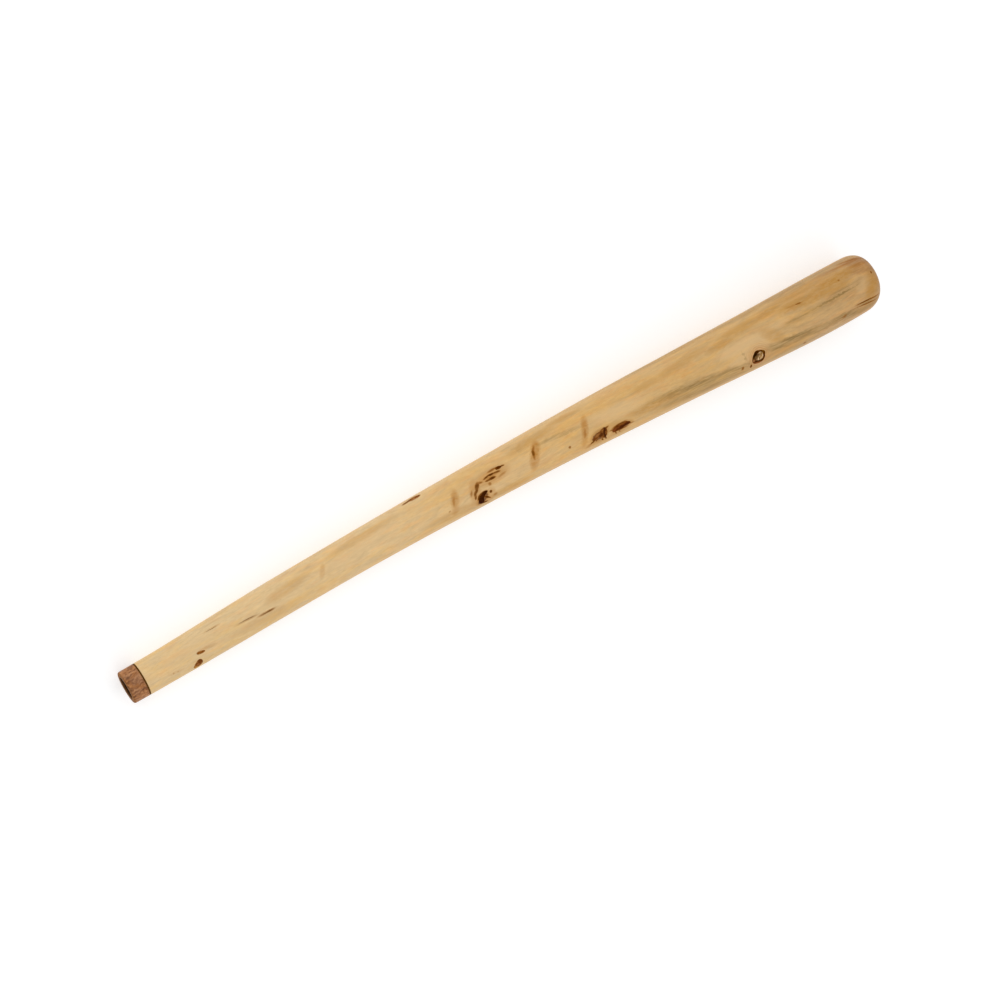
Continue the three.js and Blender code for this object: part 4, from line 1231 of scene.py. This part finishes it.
# Knots and fillings: dark, middle and light colours, noise seed, painted ovals as in
# Field.painted, ring frequency, gloss and final tint.
KNOT_LOOKS = {
    "belly_left": dict(
        name="filling_brown", colors=((92, 50, 16), (122, 74, 34), (152, 104, 58)), seed=2,
        gloss=0.1, marks=(
            (2.2, 0.4, 3.8, 2.4, -10, 0.5, (78, 38, 10)),
            (9, -4.2, 1.8, 4.6, 26, 0.4, (62, 24, 4)),
            (8, 3.6, 1.5, 4.6, -8, 0.4, (58, 22, 4)),
            (-9, 1.6, 3.5, 1.3, 0, 0.6, (112, 62, 24)),
            (-3.6, -1.6, 3.4, 1.8, -20, 0.6, (152, 106, 66)))),
    "belly_right": dict(
        name="filling_dark", colors=((82, 36, 8), (104, 54, 16), (140, 84, 40)), seed=6,
        gloss=0.1, marks=(
            (3.6, 1, 9.5, 2.2, -6, 0.5, (70, 28, 4)),
            (-12.4, 0.8, 2.6, 1.8, 0, 0.5, (126, 66, 30)),
            (-7.4, 2.6, 2.8, 1.5, 0, 0.6, (90, 42, 14)),
            (0.4, -3.6, 5, 0.9, 4, 0.6, (134, 84, 36)))),
    "centre": dict(
        name="filling_black", colors=((44, 16, 0), (58, 24, 0), (80, 40, 6)), seed=9,
        gloss=0.12, marks=((-6, 5, 2.6, 3.4, 0, 0.6, (52, 16, 2)),)),
    "knot_centre": dict(
        name="knot_brown_a", colors=((96, 50, 10), (122, 72, 22), (148, 96, 42)), seed=3,
        marks=((1, 0, 4.2, 1.5, -6, 0.6, (74, 32, 0)),)),
    "back_edge": dict(
        name="knot_red", colors=((118, 72, 40), (158, 108, 70), (186, 140, 100)), seed=5,
        rings=2.2, marks=(
            (-7, -1, 3.2, 1.4, 0, 0.6, (96, 56, 28)), (5.6, 0, 3.4, 1.2, 0, 0.6, (112, 62, 34)))),
    "mouth_low": dict(
        name="knot_brown_b", colors=((108, 62, 26), (136, 86, 44), (164, 112, 66)), seed=8,
        rings=1.7, tint=(1.02, 0.95, 0.80), marks=(
            (-4.6, 4.4, 2.8, 2.6, 30, 0.6, (184, 130, 66)),
            (3.6, -3.4, 2.6, 3, 0, 0.6, (104, 58, 24)),
            (0.4, 1.4, 1.8, 1.6, 0, 0.7, (150, 98, 62)))),
    "mouth_high": dict(
        name="knot_brown_c", colors=((138, 86, 36), (160, 108, 54), (178, 128, 72)), seed=11,
        tint=(1.02, 0.95, 0.80), marks=(
            (0.6, 0.1, 4.2, 0.7, 8, 0.6, (120, 68, 24)),
            (-4, -0.6, 1.6, 0.8, 0, 0.7, (130, 78, 30)))),
}
HEART_MARKS = (
    (-5.2, -1.6, 3.4, 4, 0, 0.5, (84, 56, 12)), (-3, -5.2, 6, 1.6, 24, 0.6, (70, 36, 0)),
    (-4.6, 2.6, 2.4, 1.6, 0, 0.6, (150, 110, 72)), (-6.6, 1.8, 1.6, 2.4, 0, 0.6, (88, 54, 22)),
    (5.4, -4.4, 1.6, 1.2, 0, 0.6, (120, 86, 34)), (2, 6.2, 5, 0.9, -10, 0.6, (84, 48, 16)))
BARK_MARKS = (
    (-2, -8.2, 7.5, 3.4, 14, 0.5, (60, 26, 0)), (-9.4, -2, 2.6, 5.5, 0, 0.5, (84, 46, 4)),
    (-7, 7.2, 4.6, 3.2, 25, 0.6, (136, 78, 38)), (-2, 9.6, 5, 1.8, 6, 0.6, (144, 84, 44)),
    (-2.6, 6.2, 6.4, 1.5, 8, 0.5, (50, 20, 0)), (-6.2, -5.6, 3.6, 3.4, 20, 0.5, (36, 14, 0)),
    (3.2, -9.4, 2.4, 1.4, 0, 0.5, (112, 66, 20)), (9.6, 3, 1.5, 5, -12, 0.6, (84, 42, 10)),
    (8.8, -7, 1.8, 2, 0, 0.6, (120, 78, 22)), (-9.2, 2.6, 1.4, 2, 0, 0.6, (160, 108, 66)))


def knot_material(name, colors, seed, marks, rings=0, gloss=0, tint=(1.04, 0.92, 0.62)):
    """Knot wood or filling: clouded colour along the grain, with painted ovals."""
    material = new_material(name)
    knot = read_attribute(material, "knot")
    x, y, depth = knot.split()
    broad_warp = knot.warp((0.35, 0.35, 0.35), offset=(seed, 0, 0))
    fine_warp = knot.warp((1.3, 1.3, 1.3), offset=(0, seed, 0))
    cloudy = knot.moved(broad_warp, (3, 3, 0))
    flat = x.join(y).moved(broad_warp, (1.6, 1.4, 0)).moved(fine_warp, (1.2, 1.2, 0))
    clouds = cloudy.noise((0.25, 0.45, 0.3), detail=4, rough=0.6, offset=(seed, 3, 1))
    bits = cloudy.noise((1.1, 1.98, 0.9), detail=3, rough=0.65, offset=(seed, 8, 4))
    shade_field = clouds * 0.6 + bits * 0.4
    if rings:
        reach = flat.vector("ADD", (0, 0, -1)).vector("LENGTH")
        shade_field = shade_field + (reach * rings).math("SINE") * 0.06
    color = shade_field.ramp(*zip((0.40, 0.50, 0.62), colors)).painted(flat, marks, 0.88)
    dust = knot.noise((2.6, 2.6, 2.6), rough=0.6, offset=(seed, 1, 6)).remap(0.58, 0.72)
    color = color.toward((140, 90, 30), dust * 0.14)
    # painted shade: darker the deeper below the skin, on the plug's sides down in its pocket
    color = color.toward((44, 20, 0), depth.remap(0.35, 0.9)).tinted(tint)
    normal = (bits + dust * 0.5).bump(strength=0.5, distance=0.0003)
    return finish(material, color, 0.44 - gloss + bits * 0.25, specular=gloss * 0.1,
                  normal=normal, coat_rough=0.15)


def heart_material():
    material = new_material("branch_knot_heart")
    knot = read_attribute(material, "knot")
    x, y, _ = knot.split()
    plane = x.join(y).moved(knot.warp((0.4, 0.4, 0.4)), (2.2, 2.2, 0))
    reach = plane.vector("ADD", (-0.8, -1.2, -1)).vector("LENGTH")
    ring = (reach * 4.8).math("SINE").remap(-1, 1)
    clouds = knot.noise((0.5, 0.5, 0.5), detail=4, rough=0.6, offset=(2, 7, 1))
    fine = knot.noise((1.9, 1.9, 1.9), detail=3, rough=0.65, offset=(4, 1, 1))
    color = clouds.ramp((0.40, (144, 100, 48)), (0.5, (184, 144, 90)), (0.60, (226, 196, 156)))
    color = color.scaled(0.84 + (ring * 0.16 + fine * 0.22)).painted(plane, HEART_MARKS, 0.85)
    # cracks that run out like a star
    star = (y.math("ARCTAN2", x) * 1.5 + clouds * 2.4).math("SINE").math("ABSOLUTE")
    crack = (star * reach).remap(0.5, 0.15, smooth=True) * reach.remap(6.5, 3.0)
    color = color.toward((76, 42, 4), crack * 0.75)
    height = fine * 0.8 + ring * 0.3 - crack * 1.5
    return finish(material, color, rough=0.6, specular=0.02,
                  normal=height.bump(strength=0.6, distance=0.0004))


def bark_material():
    material = new_material("branch_knot_bark_gum")
    knot = read_attribute(material, "knot")
    x, y, _ = knot.split()
    plane = x.join(y).moved(knot.warp((0.5, 0.5, 0.5)), (2.6, 2.6, 0))
    clouds = knot.noise((0.45, 0.45, 0.3), detail=4, rough=0.65)
    fine = knot.noise((2.2, 2.2, 1), detail=3, rough=0.6, offset=(5, 1, 1))
    color = clouds.ramp((0.38, (66, 30, 0)), (0.50, (96, 50, 4)), (0.64, (128, 78, 18)))
    color = color.painted(plane, BARK_MARKS, 0.9).scaled(0.72 + fine * 0.5)
    return finish(material, color, 0.40 + fine * 0.3, specular=0.0,
                  normal=(clouds + fine).bump(strength=0.6, distance=0.0004))


# ------------------------------------------------------------------ onto the frame
def mount(piece, material, cad_piece, slot):
    piece.data.materials.clear()
    piece.data.materials.append(material)
    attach(piece, "root")
    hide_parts(cad_piece)


log = build_log()
ring = build_ring()
washer = build_washer()
inlays = {key: build_inlay(key) for key in INLAYS}
core = build_branch_core()
bark = build_branch_bark()

mount(log, log_material(), "log_body", "pale_wood")
mount(ring, ring_material(), "mouthpiece_ring", "ring_wood")
mount(washer, washer_material(), "spacer_ring", "dark_veneer")
for key, piece in inlays.items():
    mount(piece, knot_material(**KNOT_LOOKS[key]), *INLAYS[key][1:3])
mount(core, heart_material(), "knot_bell_stub", "knot_heart")
mount(bark, bark_material(), "knot_bell_bark", "knot_bark")

# ------------------------------------------------------------------ floor, light, camera
# Metres, except for the camera's place, which is in the log's own layout.
FLOOR_HALF = 60.0
FLOOR_DROP = 0.0002
WORLD_LIGHT, WORLD_SEEN = 0.72, 1.0
SOFTBOXES = [  # name, location, size, watts; all aim at the origin
    ("key", (-0.6, 1.9, 2.6), (3.4, 2.2), 26),
    ("fill", (0.5, -2.4, 2.0), (3.4, 1.8), 14)]
CAMERA_TILT, CAMERA_TURN = 19.0 * RAD, 29.1736 * RAD
CAMERA_DISTANCE = 2750.0
CAMERA_TARGET = np.array([572.278, -23.211, 0.0])
CAMERA_LENS = 71.383896


def build_floor():
    mesh = bpy.data.meshes.new("floor")
    shell = bmesh.new()
    bmesh.ops.create_grid(shell, x_segments=1, y_segments=1, size=FLOOR_HALF)
    shell.to_mesh(mesh)
    shell.free()
    floor = bpy.data.objects.new("floor", mesh)
    floor.location = (0, 0, -FLOOR_DROP)
    bpy.context.scene.collection.objects.link(floor)
    mesh.materials.append(finish(new_material("floor_paper"), (0.62, 0.62, 0.62, 1.0),
                                 rough=0.9, specular=0.1, emission=0.50))


def build_world():
    """A white world, brighter to the camera so that it matches the floor beyond its edge."""
    studio = bpy.data.worlds.new("studio")
    studio.use_nodes = True
    tree = studio.node_tree
    background = tree.nodes["Background"]
    background.inputs["Color"].default_value = (1, 1, 1, 1)
    path = Field(tree, add_node(tree, "LightPath", {}).outputs["Is Camera Ray"])
    strength = path.remap(0, 1, to=(WORLD_LIGHT, WORLD_SEEN))
    tree.links.new(strength.socket, background.inputs["Strength"])
    bpy.context.scene.world = studio


def build_softbox(name, location, size, watts):
    light = bpy.data.lights.new(name, "AREA")
    light.shape = "RECTANGLE"
    light.size, light.size_y = size
    light.energy = watts
    lamp = bpy.data.objects.new(name, light)
    lamp.location = location
    lamp.rotation_euler = (-Vector(location)).to_track_quat("-Z", "Y").to_euler()
    bpy.context.scene.collection.objects.link(lamp)


def build_camera():
    """Above and beyond the mouthpiece, turned so that the bell runs up to the right."""
    backward = np.array([-math.sin(CAMERA_TILT), 0, math.cos(CAMERA_TILT)])
    level = np.array([math.cos(CAMERA_TILT), 0, math.sin(CAMERA_TILT)])
    side = np.array([0.0, 1.0, 0.0])
    cos, sin = math.cos(CAMERA_TURN), math.sin(CAMERA_TURN)
    eye = world(CAMERA_TARGET + CAMERA_DISTANCE * backward)
    axes = [POSE @ axis for axis in (cos * level - sin * side, sin * level + cos * side, backward)]
    camera = bpy.data.cameras.new("camera")
    camera.sensor_width = 36.0
    camera.lens = CAMERA_LENS
    camera.clip_end = 100
    holder = bpy.data.objects.new("camera", camera)
    holder.matrix_world = Matrix([*np.stack([*axes, eye], -1).tolist(), (0, 0, 0, 1)])
    bpy.context.scene.collection.objects.link(holder)
    bpy.context.scene.camera = holder


build_floor()
build_world()
for softbox in SOFTBOXES:
    build_softbox(*softbox)
build_camera()

view = bpy.context.scene.view_settings
view.view_transform = "Standard"
view.look = "None"
view.exposure = 0.0
view.gamma = 1.0

bpy.context.view_layer.update()
